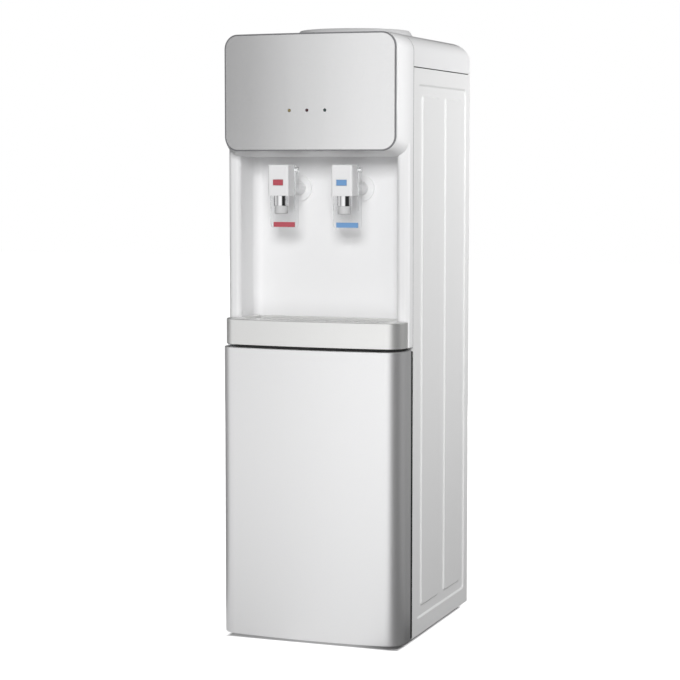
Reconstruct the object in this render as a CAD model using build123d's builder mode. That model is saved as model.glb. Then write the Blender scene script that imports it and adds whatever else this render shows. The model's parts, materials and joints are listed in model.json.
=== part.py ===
from build123d import *
import os

os.makedirs("parts", exist_ok=True)

# A floor-standing bottle-top water dispenser, in millimetres.
# X runs across, Y runs from front to back, Z runs up from the floor.
# The origin is on the floor under the middle of the whole object.

# Heights, from the floor up
foot_height = 8
door_height = 469.5
door_gap = 4.5
band_height = 41
alcove_height = 260.6
hood_lip = 9.2
panel_height = 184.5
panel_rise = 0.8
top_cover_height = 52.5
collar_rise = 15.5

# Plan sizes; reaches run forward from the seam between the front mouldings and the steel cabinet
cabinet_width = 310
cabinet_depth = 301
door_reach = 60.5
panel_reach = 57
band_reach = 55
cheek_reach = 24
alcove_depth = 40
front_bow = 10
machine_bay = 135
back_recess = 30

# Walls, clearances and small shared sizes
sheet = 1.2
plate = 2
moulding = 2.5
fit = 0.3
pin_fit = 0.06
reveal = 1.6
cover_lap = 6
overrun = 5
soft_edge = 2

# Places worked out from those sizes
half_width = cabinet_width / 2
seam_y = (door_reach + front_bow - cabinet_depth) / 2
rear_y = seam_y + cabinet_depth
middle_y = seam_y + cabinet_depth / 2
alcove_wall_y = seam_y + alcove_depth
alcove_rear_y = alcove_wall_y + moulding
back_panel_y = rear_y - back_recess
door_bottom_z = foot_height
door_top_z = door_bottom_z + door_height
band_bottom_z = door_top_z + door_gap
band_top_z = band_bottom_z + band_height
ceiling_z = band_top_z + alcove_height
panel_bottom_z = ceiling_z + hood_lip
panel_top_z = panel_bottom_z + panel_height
cover_top_z = panel_top_z - panel_rise
side_top_z = cover_top_z - top_cover_height
lip_top_z = cover_top_z + collar_rise


def bowed_outline(half, corner_y, end_y, bow, corner_radius):
    """Plan outline with square rear corners, rounded front corners and a bowed front."""
    with BuildSketch() as outline:
        with BuildLine():
            ThreePointArc((-half, corner_y), (0, corner_y - bow), (half, corner_y))
            Polyline((half, corner_y), (half, end_y), (-half, end_y), (-half, corner_y))
        make_face()
        fillet(outline.vertices().group_by(Axis.Y)[0], corner_radius)
    return outline.sketch


def bowed_slab(half, corner_y, bow, thickness):
    """Plan section of a plate of even depth that bows forward."""
    with BuildSketch() as slab:
        with BuildLine():
            ThreePointArc((-half, corner_y), (0, corner_y - bow), (half, corner_y))
            Line((half, corner_y), (half, corner_y + thickness))
            ThreePointArc((half, corner_y + thickness), (0, corner_y - bow + thickness),
                          (-half, corner_y + thickness))
            Line((-half, corner_y + thickness), (-half, corner_y))
        make_face()
    return slab.sketch


def tube_along(points, radii, outer_radius, inner_radius):
    """Round tube swept along straight runs joined by tangent arcs."""
    with BuildPart() as tube:
        with BuildLine() as path:
            FilletPolyline(*points, radius=radii)
        start = path.line @ 0
        heading = path.line % 0
        with BuildSketch(Plane(origin=start, z_dir=heading)):
            Circle(outer_radius)
            Circle(inner_radius, mode=Mode.SUBTRACT)
        sweep(path=path.line)
    return tube.part


def rod_along(points, radii, outer_radius):
    """Round solid rod swept along straight runs joined by tangent arcs."""
    with BuildPart() as rod:
        with BuildLine() as path:
            FilletPolyline(*points, radius=radii)
        start = path.line @ 0
        heading = path.line % 0
        with BuildSketch(Plane(origin=start, z_dir=heading)):
            Circle(outer_radius)
        sweep(path=path.line)
    return rod.part


# Base pan and its glides
pan_rim = 18
pan_half = half_width - sheet - fit
pan_front_y = seam_y + sheet + fit
pan_depth = cabinet_depth - 2 * (sheet + fit)
pan_top_z = foot_height + plate
glide_radius = 15
glide_inset = 40
with BuildPart() as base_pan:
    with BuildSketch(Plane.XY.offset(foot_height)):
        with Locations((0, pan_front_y + pan_depth / 2)):
            Rectangle(2 * pan_half, pan_depth)
    extrude(amount=plate)
    with BuildSketch(Plane.XY.offset(pan_top_z)):
        with Locations((0, pan_front_y + pan_depth / 2)):
            Rectangle(2 * pan_half, pan_depth)
        with Locations((0, pan_front_y + (pan_depth - plate) / 2)):
            Rectangle(2 * (pan_half - plate), pan_depth - plate, mode=Mode.SUBTRACT)
    extrude(amount=pan_rim)
base_pan.part.label = "base_pan"
export_step(base_pan.part, "parts/base_pan.step")

with BuildPart() as feet:
    with BuildSketch():
        for side in (-1, 1):
            with Locations((side * (half_width - glide_inset), seam_y + glide_inset),
                           (side * (half_width - glide_inset), rear_y - glide_inset)):
                Circle(glide_radius)
    extrude(amount=foot_height)
    chamfer(feet.edges().group_by(Axis.Z)[0], soft_edge)
feet.part.label = "feet"
export_step(feet.part, "parts/feet.step")

# Pressed steel side panels: one broad sunk field with two tall panels raised again in it
return_flange = 14
press_depth = 2
press_slope = 56
field_front = 22
field_rear = 19
field_foot = 25.5
field_head = 24
panel_margin = 23
panel_post = 30
panel_foot = 18.5
panel_head = 19
field_radius = 10
tall_radius = 7
side_height = side_top_z - foot_height
field_width = cabinet_depth - field_front - field_rear
field_height = side_height - field_foot - field_head
field_y = seam_y + field_front + field_width / 2
field_z = foot_height + field_foot + field_height / 2
tall_width = (field_width - 2 * panel_margin - panel_post) / 2
tall_height = field_height - panel_foot - panel_head
tall_step = (tall_width + panel_post) / 2
tall_z = field_z + (panel_foot - panel_head) / 2

for side, side_name in ((-1, "left"), (1, "right")):
    skin = Plane(origin=(side * half_width, 0, 0), x_dir=(0, side, 0), z_dir=(side, 0, 0))
    field_spot = (side * field_y, field_z)
    tall_spots = [(side * (field_y - tall_step), tall_z), (side * (field_y + tall_step), tall_z)]
    with BuildPart() as side_panel:
        with BuildSketch(skin):
            with Locations((side * middle_y, foot_height + side_height / 2)):
                Rectangle(cabinet_depth, side_height)
        extrude(amount=-sheet)
        # The returns at the front and rear edges face inward
        with BuildSketch(Plane.XY.offset(foot_height)):
            for edge_y in (seam_y + sheet / 2, rear_y - sheet / 2):
                with Locations((side * (half_width - return_flange / 2), edge_y)):
                    Rectangle(return_flange, sheet)
        extrude(amount=side_height)
        # The sunk field stands inward by the depth that is pressed from outside
        with BuildSketch(skin.offset(-sheet)):
            with Locations(field_spot):
                RectangleRounded(field_width, field_height, field_radius)
        extrude(amount=-press_depth)
        with BuildSketch(skin):
            with Locations(field_spot):
                RectangleRounded(field_width - 2 * sheet, field_height - 2 * sheet,
                                 field_radius - sheet)
        extrude(amount=-press_depth, taper=press_slope, mode=Mode.SUBTRACT)
        # The tall panels come back out level with the skin and are hollow from inside
        with BuildSketch(skin.offset(-press_depth)):
            with Locations(*tall_spots):
                RectangleRounded(tall_width, tall_height, tall_radius)
        extrude(amount=press_depth, taper=press_slope)
        with BuildSketch(skin.offset(-press_depth - sheet)):
            with Locations(*tall_spots):
                RectangleRounded(tall_width - 2 * sheet, tall_height - 2 * sheet,
                                 tall_radius - sheet)
        extrude(amount=press_depth, taper=press_slope, mode=Mode.SUBTRACT)
    side_panel.part.label = f"side_panel_{side_name}"
    export_step(side_panel.part, f"parts/side_panel_{side_name}.step")

inner_half = half_width - sheet - press_depth - fit

# Storage cabinet: an open box behind the door, with a frame that the gasket meets
store_frame = 9
store_outer_half = half_width - return_flange - fit
store_depth = cabinet_depth - machine_bay
deck_thickness = plate
deck_top_z = band_bottom_z
deck_bottom_z = deck_top_z - deck_thickness
store_height = deck_bottom_z - pan_top_z
store_z = pan_top_z + store_height / 2
store_mouth_half = store_outer_half - store_frame
frame_foot = 15
frame_head = 20
store_mouth_height = store_height - frame_foot - frame_head
store_mouth_z = pan_top_z + frame_foot + store_mouth_height / 2
with BuildPart() as cabinet_liner:
    with BuildSketch(Plane.XZ.offset(-seam_y)):
        with Locations((0, store_z)):
            Rectangle(2 * store_outer_half, store_height)
    extrude(amount=-store_depth)
    with BuildSketch(Plane.XZ.offset(-seam_y - moulding)):
        with Locations((0, store_z)):
            Rectangle(2 * (store_outer_half - plate), store_height - 2 * plate)
    extrude(amount=-(store_depth - moulding - plate), mode=Mode.SUBTRACT)
    with BuildSketch(Plane.XZ.offset(-seam_y)):
        with Locations((0, store_mouth_z)):
            RectangleRounded(2 * store_mouth_half, store_mouth_height, store_frame)
    extrude(amount=-moulding, mode=Mode.SUBTRACT)
cabinet_liner.part.label = "cabinet_liner"
export_step(cabinet_liner.part, "parts/cabinet_liner.step")

# Heights inside the upper compartment: hot tank, hoses, shelf, then the cold tank
rear_tab = 16
screw_radius = 1.8
screw_spread = 88
screw_columns = 3
hot_jacket_height = 128
hose_room = 26
jacket_top_z = deck_top_z + hot_jacket_height
hose_z = jacket_top_z + hose_room
shelf_bottom_z = hose_z + hose_room
shelf_top_z = shelf_bottom_z + plate
screw_rows_z = (deck_top_z + rear_tab / 2, shelf_top_z + rear_tab / 2)

# Deck over the storage cabinet, which carries the hot tank and the tray surround
deck_front_y = seam_y + sheet + fit
deck_depth = back_panel_y - deck_front_y
line_hole_radius = 12
line_hole_inset = 36
line_hole_x = -half_width + line_hole_inset
line_hole_y = back_panel_y - line_hole_inset
with BuildPart() as deck:
    with BuildSketch(Plane.XY.offset(deck_bottom_z)):
        with Locations((0, deck_front_y + deck_depth / 2)):
            Rectangle(2 * inner_half, deck_depth)
        with Locations((line_hole_x, line_hole_y)):
            Circle(line_hole_radius, mode=Mode.SUBTRACT)
    extrude(amount=deck_thickness)
    with BuildSketch(Plane.XY.offset(deck_top_z)):
        with Locations((0, back_panel_y - plate / 2)):
            Rectangle(2 * inner_half, plate)
    extrude(amount=rear_tab)
    with BuildSketch(Plane.XZ.offset(-back_panel_y)):
        with Locations((0, screw_rows_z[0])):
            with GridLocations(screw_spread, screw_spread, screw_columns, 1):
                Circle(screw_radius + pin_fit)
    extrude(amount=plate, mode=Mode.SUBTRACT)
deck.part.label = "deck"
export_step(deck.part, "parts/deck.step")

# Back panel with louvres, above the open machine bay
bay_height = 205
back_bottom_z = foot_height + bay_height
back_height = side_top_z - cover_lap - fit - back_bottom_z
back_flange = 10
louvre_length = 52
louvre_slot = 4.5
louvre_pitch = 13
louvre_rows = 8
louvre_columns = 4
louvre_gap = 14
louvre_drop = 88
control_width = 48
control_height = 112
control_rise = 14
control_inset = 45
control_x = half_width - control_inset
control_z = back_bottom_z + control_rise + control_height / 2
service_margin = 6
drain_inset = 51
drain_rise = 26
drain_x = -half_width + drain_inset
drain_z = deck_top_z + drain_rise
drain_pipe_radius = 6
with BuildPart() as back_panel:
    with BuildSketch(Plane.XZ.offset(-back_panel_y)):
        with Locations((0, back_bottom_z + back_height / 2)):
            Rectangle(2 * inner_half, back_height)
        with Locations((0, side_top_z - louvre_drop)):
            with GridLocations(louvre_length + louvre_gap, louvre_pitch, louvre_columns, louvre_rows):
                SlotOverall(louvre_length, louvre_slot, mode=Mode.SUBTRACT)
        with Locations((control_x, control_z)):
            Rectangle(control_width - 2 * service_margin, control_height - 2 * service_margin,
                      mode=Mode.SUBTRACT)
        for row_z in screw_rows_z:
            with Locations((0, row_z)):
                with GridLocations(screw_spread, screw_spread, screw_columns, 1):
                    Circle(screw_radius + pin_fit, mode=Mode.SUBTRACT)
        with Locations((drain_x, drain_z)):
            Circle(drain_pipe_radius + fit, mode=Mode.SUBTRACT)
    extrude(amount=-sheet)
    with BuildSketch(Plane.XY.offset(back_bottom_z)):
        for side in (-1, 1):
            with Locations((side * (inner_half - sheet / 2), back_panel_y + back_flange / 2)):
                Rectangle(sheet, back_flange)
    extrude(amount=back_height)
back_panel.part.label = "back_panel"
export_step(back_panel.part, "parts/back_panel.step")

# Screws that hold the back panel to the tabs of the deck and the tank shelf
screw_head_radius = 4
screw_head_height = 2.4
with BuildPart() as back_screws:
    for row_z in screw_rows_z:
        with BuildSketch(Plane.XZ.offset(-back_panel_y - sheet)):
            with Locations((0, row_z)):
                with GridLocations(screw_spread, screw_spread, screw_columns, 1):
                    Circle(screw_head_radius)
        extrude(amount=-screw_head_height)
        with BuildSketch(Plane.XZ.offset(-back_panel_y - sheet)):
            with Locations((0, row_z)):
                with GridLocations(screw_spread, screw_spread, screw_columns, 1):
                    Circle(screw_radius)
        extrude(amount=2 * sheet + plate)
back_screws.part.label = "back_screws"
export_step(back_screws.part, "parts/back_screws.step")

# Top cover: a moulded lid with a soft side edge and a softer rear edge
cover_side_radius = 28
cover_rear_radius = 38
collar_hole_radius = 90


def cover_form(inset, foot):
    """Outer form of the top cover, set in from its skin, from the given height up."""
    half = half_width - inset
    crown = cover_top_z - inset
    tail = rear_y - inset
    with BuildPart() as form:
        with BuildSketch(Plane.XZ.offset(-seam_y)) as front_view:
            with BuildLine():
                Polyline((-half, foot), (half, foot), (half, crown), (-half, crown), close=True)
            make_face()
            fillet(front_view.vertices().group_by(Axis.Y)[-1], cover_side_radius - inset)
        extrude(amount=-cabinet_depth - overrun)
        with BuildSketch(Plane.YZ.offset(-half_width - overrun)) as side_view:
            with BuildLine():
                Polyline((seam_y, foot), (tail, foot), (tail, crown), (seam_y, crown), close=True)
            make_face()
            fillet(side_view.vertices().sort_by(Axis.X)[-2:].sort_by(Axis.Y)[-1],
                   cover_rear_radius - inset)
        extrude(amount=2 * (half_width + overrun), mode=Mode.INTERSECT)
    return form.part


cover_skin = cover_form(0, side_top_z + reveal)
cover_cavity = cover_form(moulding, side_top_z)
with BuildPart() as top_cover:
    add(cover_skin)
    add(cover_cavity, mode=Mode.SUBTRACT)
    # A rib all round laps down inside the side panels
    with BuildSketch(Plane.XY.offset(side_top_z - cover_lap)):
        with Locations((0, (deck_front_y + rear_y - sheet - fit) / 2)):
            Rectangle(2 * (half_width - sheet - fit), rear_y - sheet - fit - deck_front_y)
            Rectangle(2 * (half_width - sheet - fit - moulding),
                      rear_y - sheet - fit - deck_front_y - 2 * moulding, mode=Mode.SUBTRACT)
    extrude(amount=cover_lap + reveal + moulding)
    with BuildSketch(Plane.XY.offset(side_top_z + top_cover_height / 2)):
        with Locations((0, middle_y)):
            Circle(collar_hole_radius)
    extrude(amount=top_cover_height, mode=Mode.SUBTRACT)
top_cover.part.label = "top_cover"
export_step(top_cover.part, "parts/top_cover.step")

# Bottle collar: outer skirt, guide wall, cone and neck, turned about the bottle's axis
collar_wall = 2.5
guide_length = 34
guide_radius = collar_hole_radius - fit - collar_wall
cone_height = 26
neck_radius = 32
neck_height = 34
skirt_gap = 1
skirt_flare = 7.8
collar_lip_radius = guide_radius + 2 * collar_wall + skirt_gap
collar_foot_radius = collar_lip_radius + skirt_flare
guide_bottom_z = lip_top_z - guide_length
neck_top_z = guide_bottom_z - cone_height
neck_bottom_z = neck_top_z - neck_height
with BuildPart() as bottle_collar:
    with BuildSketch(Plane.XZ.offset(-middle_y)) as collar_profile:
        with BuildLine():
            Polyline((guide_radius, lip_top_z - collar_wall), (guide_radius, guide_bottom_z),
                     (neck_radius, neck_top_z), (neck_radius, neck_bottom_z),
                     (neck_radius + collar_wall, neck_bottom_z),
                     (neck_radius + collar_wall, neck_top_z - collar_wall),
                     (guide_radius + collar_wall, guide_bottom_z - collar_wall),
                     (guide_radius + collar_wall, lip_top_z - 2 * collar_wall),
                     (collar_lip_radius - collar_wall, lip_top_z - 2 * collar_wall),
                     (collar_foot_radius - collar_wall, cover_top_z),
                     (collar_foot_radius, cover_top_z),
                     (collar_lip_radius, lip_top_z - collar_wall),
                     (collar_lip_radius - collar_wall, lip_top_z),
                     (guide_radius + collar_wall, lip_top_z), close=True)
        make_face()
    revolve(axis=Axis((0, middle_y, 0), (0, 0, 1)))
bottle_collar.part.label = "bottle_collar"
export_step(bottle_collar.part, "parts/bottle_collar.step")

# Feed spike: a slotted tube on a spoked ring that stands on a ledge in the neck
spike_radius = 11
spike_bore = 7
spike_tip_gap = 8
spoke_width = 6
spoke_height = 8
spoke_count = 3
slot_width = 5
slot_height = 18
slot_drop = 24
spike_ring_outer = neck_radius - fit
spike_ring_inner = spike_ring_outer - collar_wall
spike_top_z = guide_bottom_z - spike_tip_gap
with BuildPart() as bottle_spike:
    with BuildSketch(Plane.XY.offset(neck_bottom_z)):
        with Locations((0, middle_y)):
            Circle(spike_ring_outer)
            Circle(spike_ring_inner, mode=Mode.SUBTRACT)
            Circle(spike_radius)
            with PolarLocations((spike_ring_inner + spike_radius) / 2, spoke_count):
                Rectangle(spike_ring_outer - spike_radius, spoke_width)
    extrude(amount=spoke_height)
    with BuildSketch(Plane.XY.offset(neck_bottom_z)):
        with Locations((0, middle_y)):
            Circle(spike_radius)
    extrude(amount=spike_top_z - neck_bottom_z)
    fillet(bottle_spike.edges().group_by(Axis.Z)[-1], spike_radius - spike_bore)
    with BuildSketch(Plane.XY.offset(neck_bottom_z)):
        with Locations((0, middle_y)):
            Circle(spike_bore)
    extrude(amount=spike_top_z - spike_bore - neck_bottom_z, mode=Mode.SUBTRACT)
    with BuildSketch(Plane.XZ.offset(-middle_y)):
        with Locations((0, spike_top_z - slot_drop)):
            SlotOverall(slot_height, slot_width, rotation=90)
    extrude(amount=spike_radius + overrun, both=True, mode=Mode.SUBTRACT)
bottle_spike.part.label = "bottle_spike"
export_step(bottle_spike.part, "parts/bottle_spike.step")

# Front cover: the hood round the display panel, and the cheeks beside the alcove
panel_inset = 10
panel_radius = 23
hood_top_radius = cover_side_radius
hood_foot_radius = 20
hood_mid_share = 0.25
cheek_width = 21
cheek_radius = 8
panel_thickness = 3.5
hood_rear_y = seam_y - reveal
panel_half = half_width - panel_inset
panel_corner_y = seam_y - panel_reach
bow_half = panel_half + overrun
hood_front_y = panel_corner_y + panel_thickness
alcove_half = half_width - cheek_width
cheek_head_z = ceiling_z + hood_foot_radius


def hood_form(inset, rear_plane_y, front_plane_y):
    """Hood body: smooth from the seam to the panel's outline, then straight to its front."""
    mid_y = (hood_rear_y + panel_corner_y) / 2
    mid_half = half_width - panel_inset * hood_mid_share
    mid_foot = ceiling_z + hood_lip * hood_mid_share
    mid_crown = (cover_top_z + panel_top_z) / 2
    sections = [
        (hood_rear_y, half_width, ceiling_z, cover_top_z, hood_top_radius, hood_foot_radius),
        (mid_y, mid_half, mid_foot, mid_crown, (hood_top_radius + panel_radius) / 2,
         (hood_foot_radius + panel_radius) / 2),
        (panel_corner_y, panel_half, panel_bottom_z, panel_top_z, panel_radius, panel_radius),
    ]
    with BuildPart() as form:
        for place_y, half, foot, crown, crown_radius, foot_radius in sections:
            with BuildSketch(Plane.XZ.offset(-place_y)) as ring:
                with Locations((0, (foot + crown) / 2)):
                    Rectangle(2 * (half - inset), crown - foot - 2 * inset)
                fillet(ring.vertices().group_by(Axis.Y)[-1], crown_radius - inset)
                fillet(ring.vertices().group_by(Axis.Y)[0], foot_radius - inset)
        loft()
        with BuildSketch(Plane.XZ.offset(-panel_corner_y)):
            with Locations((0, (panel_bottom_z + panel_top_z) / 2)):
                RectangleRounded(2 * (panel_half - inset), panel_height - 2 * inset,
                                 panel_radius - inset)
        extrude(amount=panel_corner_y - front_plane_y)
        if rear_plane_y > hood_rear_y:
            with BuildSketch(Plane.XZ.offset(-hood_rear_y)) as rear_ring:
                with Locations((0, (ceiling_z + cover_top_z) / 2)):
                    Rectangle(2 * (half_width - inset), cover_top_z - ceiling_z - 2 * inset)
                fillet(rear_ring.vertices().group_by(Axis.Y)[-1], hood_top_radius - inset)
                fillet(rear_ring.vertices().group_by(Axis.Y)[0], hood_foot_radius - inset)
            extrude(amount=hood_rear_y - rear_plane_y)
    return form.part


hood_skin = hood_form(0, hood_rear_y, panel_corner_y - front_bow - overrun)
hood_cavity = hood_form(moulding, hood_rear_y + overrun, panel_corner_y - front_bow - 2 * overrun)
band_half = half_width - reveal
band_corner_y = seam_y - band_reach
band_side_end_y = seam_y - cheek_reach + soft_edge
band_radius = 29
with BuildPart() as front_cover:
    # Cheek columns, rounded at both front corners
    with BuildSketch(Plane.XY.offset(band_bottom_z)) as cheek_plan:
        for side in (-1, 1):
            with Locations((side * (half_width - cheek_width / 2),
                            (seam_y - cheek_reach + hood_rear_y) / 2)):
                Rectangle(cheek_width, hood_rear_y - (seam_y - cheek_reach))
        fillet(cheek_plan.vertices().group_by(Axis.Y)[0], cheek_radius)
    extrude(amount=cheek_head_z - band_bottom_z)
    add(hood_skin)
    add(hood_cavity, mode=Mode.SUBTRACT)
    # The front of the hood follows the back of the bowed panel
    with BuildSketch(Plane.XY.offset(ceiling_z - overrun)):
        with BuildLine():
            ThreePointArc((-bow_half, hood_front_y), (0, hood_front_y - front_bow),
                          (bow_half, hood_front_y))
            Polyline((bow_half, hood_front_y), (bow_half, hood_front_y - 2 * front_bow - overrun),
                     (-bow_half, hood_front_y - 2 * front_bow - overrun),
                     (-bow_half, hood_front_y))
        make_face()
    extrude(amount=panel_top_z - ceiling_z + 2 * overrun, mode=Mode.SUBTRACT)
    # Hollow each cheek from behind
    with BuildSketch(Plane.XY.offset(band_bottom_z + moulding)):
        for side in (-1, 1):
            with Locations((side * (half_width - cheek_width / 2),
                            (seam_y - cheek_reach + moulding + hood_rear_y + overrun) / 2)):
                Rectangle(cheek_width - 2 * moulding,
                          hood_rear_y + overrun - (seam_y - cheek_reach + moulding))
    extrude(amount=cheek_head_z - band_bottom_z - 2 * moulding, mode=Mode.SUBTRACT)
    # Room for the ends of the tray band
    with BuildSketch(Plane.XY.offset(band_bottom_z - overrun)):
        with Locations((0, seam_y - cheek_reach)):
            Rectangle(cabinet_width + 2 * overrun, 2 * (soft_edge + fit))
    extrude(amount=band_height + overrun + fit, mode=Mode.SUBTRACT)
front_cover.part.label = "front_cover"
export_step(front_cover.part, "parts/front_cover.step")

# Display panel, its dark bevelled bezel and the three lamps
bezel_width = 1.8
lamp_radius = 2.6
lamp_spacing = 30
lamp_rise = 63.7
lamp_proud = 0.5
lamp_length = 9
lamp_z = panel_bottom_z + lamp_rise
panel_z = (panel_bottom_z + panel_top_z) / 2
board_half = 48
board_height = 24
board_thickness = 1.6
post_radius = 3.5
post_length = 8
post_spacing = 84

with BuildPart() as panel_bezel:
    with BuildSketch(Plane.XY.offset(panel_bottom_z - overrun)):
        add(bowed_slab(bow_half, panel_corner_y, front_bow, panel_thickness - fit))
    extrude(amount=panel_height + 2 * overrun)
    with BuildSketch(Plane.XZ.offset(-panel_corner_y - panel_thickness)):
        with Locations((0, panel_z)):
            RectangleRounded(2 * panel_half, panel_height, panel_radius)
            RectangleRounded(2 * (panel_half - bezel_width), panel_height - 2 * bezel_width,
                             panel_radius - bezel_width, mode=Mode.SUBTRACT)
    extrude(amount=front_bow + 2 * panel_thickness + overrun, mode=Mode.INTERSECT)
panel_bezel.part.label = "panel_bezel"
export_step(panel_bezel.part, "parts/panel_bezel.step")

face_half = panel_half - bezel_width - fit
face_height = panel_height - 2 * (bezel_width + fit)
with BuildPart() as display_panel:
    with BuildSketch(Plane.XY.offset(panel_bottom_z - overrun)):
        add(bowed_slab(bow_half, panel_corner_y, front_bow, panel_thickness - fit))
    extrude(amount=panel_height + 2 * overrun)
    with BuildSketch(Plane.XZ.offset(-panel_corner_y - panel_thickness)):
        with Locations((0, panel_z)):
            RectangleRounded(2 * face_half, face_height, panel_radius - bezel_width - fit)
    extrude(amount=front_bow + 2 * panel_thickness + overrun, mode=Mode.INTERSECT)
    # Posts for the lamp board
    with BuildSketch(Plane.XZ.offset(-(panel_corner_y - front_bow + panel_thickness + post_length))):
        with Locations((-post_spacing / 2, lamp_z), (post_spacing / 2, lamp_z)):
            Circle(post_radius)
    extrude(amount=post_length + fit)
    with BuildSketch(Plane.XZ.offset(-panel_corner_y - panel_thickness)):
        with Locations((0, lamp_z)):
            with GridLocations(lamp_spacing, lamp_spacing, 3, 1):
                Circle(lamp_radius)
    extrude(amount=front_bow + 2 * panel_thickness + overrun, mode=Mode.SUBTRACT)
display_panel.part.label = "display_panel"
export_step(display_panel.part, "parts/display_panel.step")

panel_apex_y = panel_corner_y - front_bow
board_y = panel_apex_y + panel_thickness + post_length
lamp_lens_radius = lamp_radius - pin_fit
led_radius = lamp_lens_radius - fit
for index, lamp_name in ((-1, "power"), (0, "heating"), (1, "cooling")):
    with BuildPart() as lamp:
        with BuildSketch(Plane.XZ.offset(-(panel_apex_y - lamp_proud + lamp_length))):
            with Locations((index * lamp_spacing, lamp_z)):
                Circle(lamp_lens_radius)
        extrude(amount=lamp_length)
        fillet(lamp.edges().group_by(Axis.Y)[0], lamp_lens_radius / 2)
    lamp.part.label = f"lamp_{lamp_name}"
    export_step(lamp.part, f"parts/lamp_{lamp_name}.step")

with BuildPart() as lamp_board:
    with BuildSketch(Plane.XZ.offset(-board_y)):
        with Locations((0, lamp_z)):
            Rectangle(2 * board_half, board_height)
    extrude(amount=-board_thickness)
    with BuildSketch(Plane.XZ.offset(-board_y)):
        with Locations((0, lamp_z)):
            with GridLocations(lamp_spacing, lamp_spacing, 3, 1):
                Circle(led_radius)
    extrude(amount=board_y - (panel_apex_y - lamp_proud + lamp_length) - fit)
lamp_board.part.label = "lamp_board"
export_step(lamp_board.part, "parts/lamp_board.step")

# Tap places
tap_spacing = 108
tap_drop = 12.6
block_width = 35
block_depth = 36
block_height = 49
block_reach = 56
block_radius = 3
barrel_radius = 10.5
barrel_rise = 11
flange_radius = 21
flange_thickness = 3
shank_radius = 8
shank_length = 8.5
barb_radius = 4
barb_length = 7
water_radius = 2.8
block_top_z = ceiling_z - tap_drop
block_bottom_z = block_top_z - block_height
block_front_y = seam_y - block_reach
block_rear_y = block_front_y + block_depth
barrel_z = block_bottom_z + barrel_rise
shank_end_y = alcove_rear_y + shank_length

# Alcove liner: back wall, side walls and ceiling behind the cheeks
liner_radius = 14
liner_wall = moulding
shank_hole_radius = shank_radius + fit


def alcove_plan(inset, mouth_y):
    """Plan of the alcove behind the cheeks, with rounded rear corners."""
    with BuildSketch() as plan:
        with Locations((0, (mouth_y + alcove_wall_y + inset) / 2)):
            Rectangle(2 * (alcove_half + inset), alcove_wall_y + inset - mouth_y)
        fillet(plan.vertices().group_by(Axis.Y)[-1], liner_radius + inset)
    return plan.sketch


with BuildPart() as alcove_liner:
    with BuildSketch(Plane.XY.offset(deck_top_z)):
        add(alcove_plan(liner_wall, hood_rear_y))
    extrude(amount=ceiling_z + liner_wall - deck_top_z)
    with BuildSketch(Plane.XY.offset(deck_top_z - overrun)):
        add(alcove_plan(0, hood_rear_y - overrun))
    extrude(amount=ceiling_z - deck_top_z + overrun, mode=Mode.SUBTRACT)
    with BuildSketch(Plane.XZ.offset(-alcove_wall_y + overrun)):
        with Locations((-tap_spacing / 2, barrel_z), (tap_spacing / 2, barrel_z)):
            Circle(shank_hole_radius)
    extrude(amount=-liner_wall - 2 * overrun, mode=Mode.SUBTRACT)
alcove_liner.part.label = "alcove_liner"
export_step(alcove_liner.part, "parts/alcove_liner.step")

# Tray surround: the bowed band with its well, the drip tray and the grille
rim_width = 10
rim_drop = 3.5
grille_thickness = 2.5
tray_wall = plate
tray_fit = 0.5
well_half = alcove_half - rim_width
well_corner_y = band_corner_y + rim_width
well_end_y = alcove_wall_y - rim_width
well_radius = 20
well_floor_z = deck_top_z + moulding
surround_end_y = alcove_wall_y - fit
surround_tail_half = alcove_half - fit
grille_top_z = band_top_z - rim_drop
grille_bottom_z = grille_top_z - grille_thickness
tray_top_z = grille_bottom_z - fit
tray_bottom_z = well_floor_z + fit
bar_pitch = 9
bar_slot = 4.5
bar_margin = 14


def well_plan(inset):
    """Plan of the tray well, set in from its wall."""
    with BuildSketch() as plan:
        add(bowed_outline(well_half - inset, well_corner_y + inset, well_end_y - inset, front_bow,
                          well_radius - inset))
        fillet(plan.vertices().group_by(Axis.Y)[-1], well_radius / 2 - inset)
    return plan.sketch


with BuildPart() as tray_surround:
    with BuildSketch(Plane.XY.offset(band_bottom_z)) as band_plan:
        add(bowed_outline(band_half, band_corner_y, band_side_end_y, front_bow, band_radius))
        with Locations((0, (band_side_end_y + surround_end_y) / 2)):
            Rectangle(2 * surround_tail_half, surround_end_y - band_side_end_y)
        fillet(band_plan.vertices().group_by(Axis.Y)[-1], liner_radius)
    extrude(amount=band_height)
    band_crown = tray_surround.faces().sort_by(Axis.Z)[-1]
    fillet(band_crown.edges().filter_by(lambda edge: edge.center().Y < band_side_end_y - fit),
           soft_edge)
    # Hollow underneath, then the well and its walls
    with BuildSketch(Plane.XY.offset(band_bottom_z)):
        add(bowed_outline(band_half - moulding, band_corner_y + moulding,
                          band_side_end_y - moulding, front_bow, band_radius - moulding))
        with Locations((0, (band_side_end_y + surround_end_y) / 2 - moulding)):
            Rectangle(2 * (surround_tail_half - moulding), surround_end_y - band_side_end_y)
    extrude(amount=band_height - moulding, mode=Mode.SUBTRACT)
    with BuildSketch(Plane.XY.offset(band_bottom_z)):
        add(well_plan(-tray_wall))
    extrude(amount=band_height - fit)
    with BuildSketch(Plane.XY.offset(well_floor_z)):
        add(well_plan(0))
    extrude(amount=band_height, mode=Mode.SUBTRACT)
tray_surround.part.label = "tray_surround"
export_step(tray_surround.part, "parts/tray_surround.step")

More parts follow.
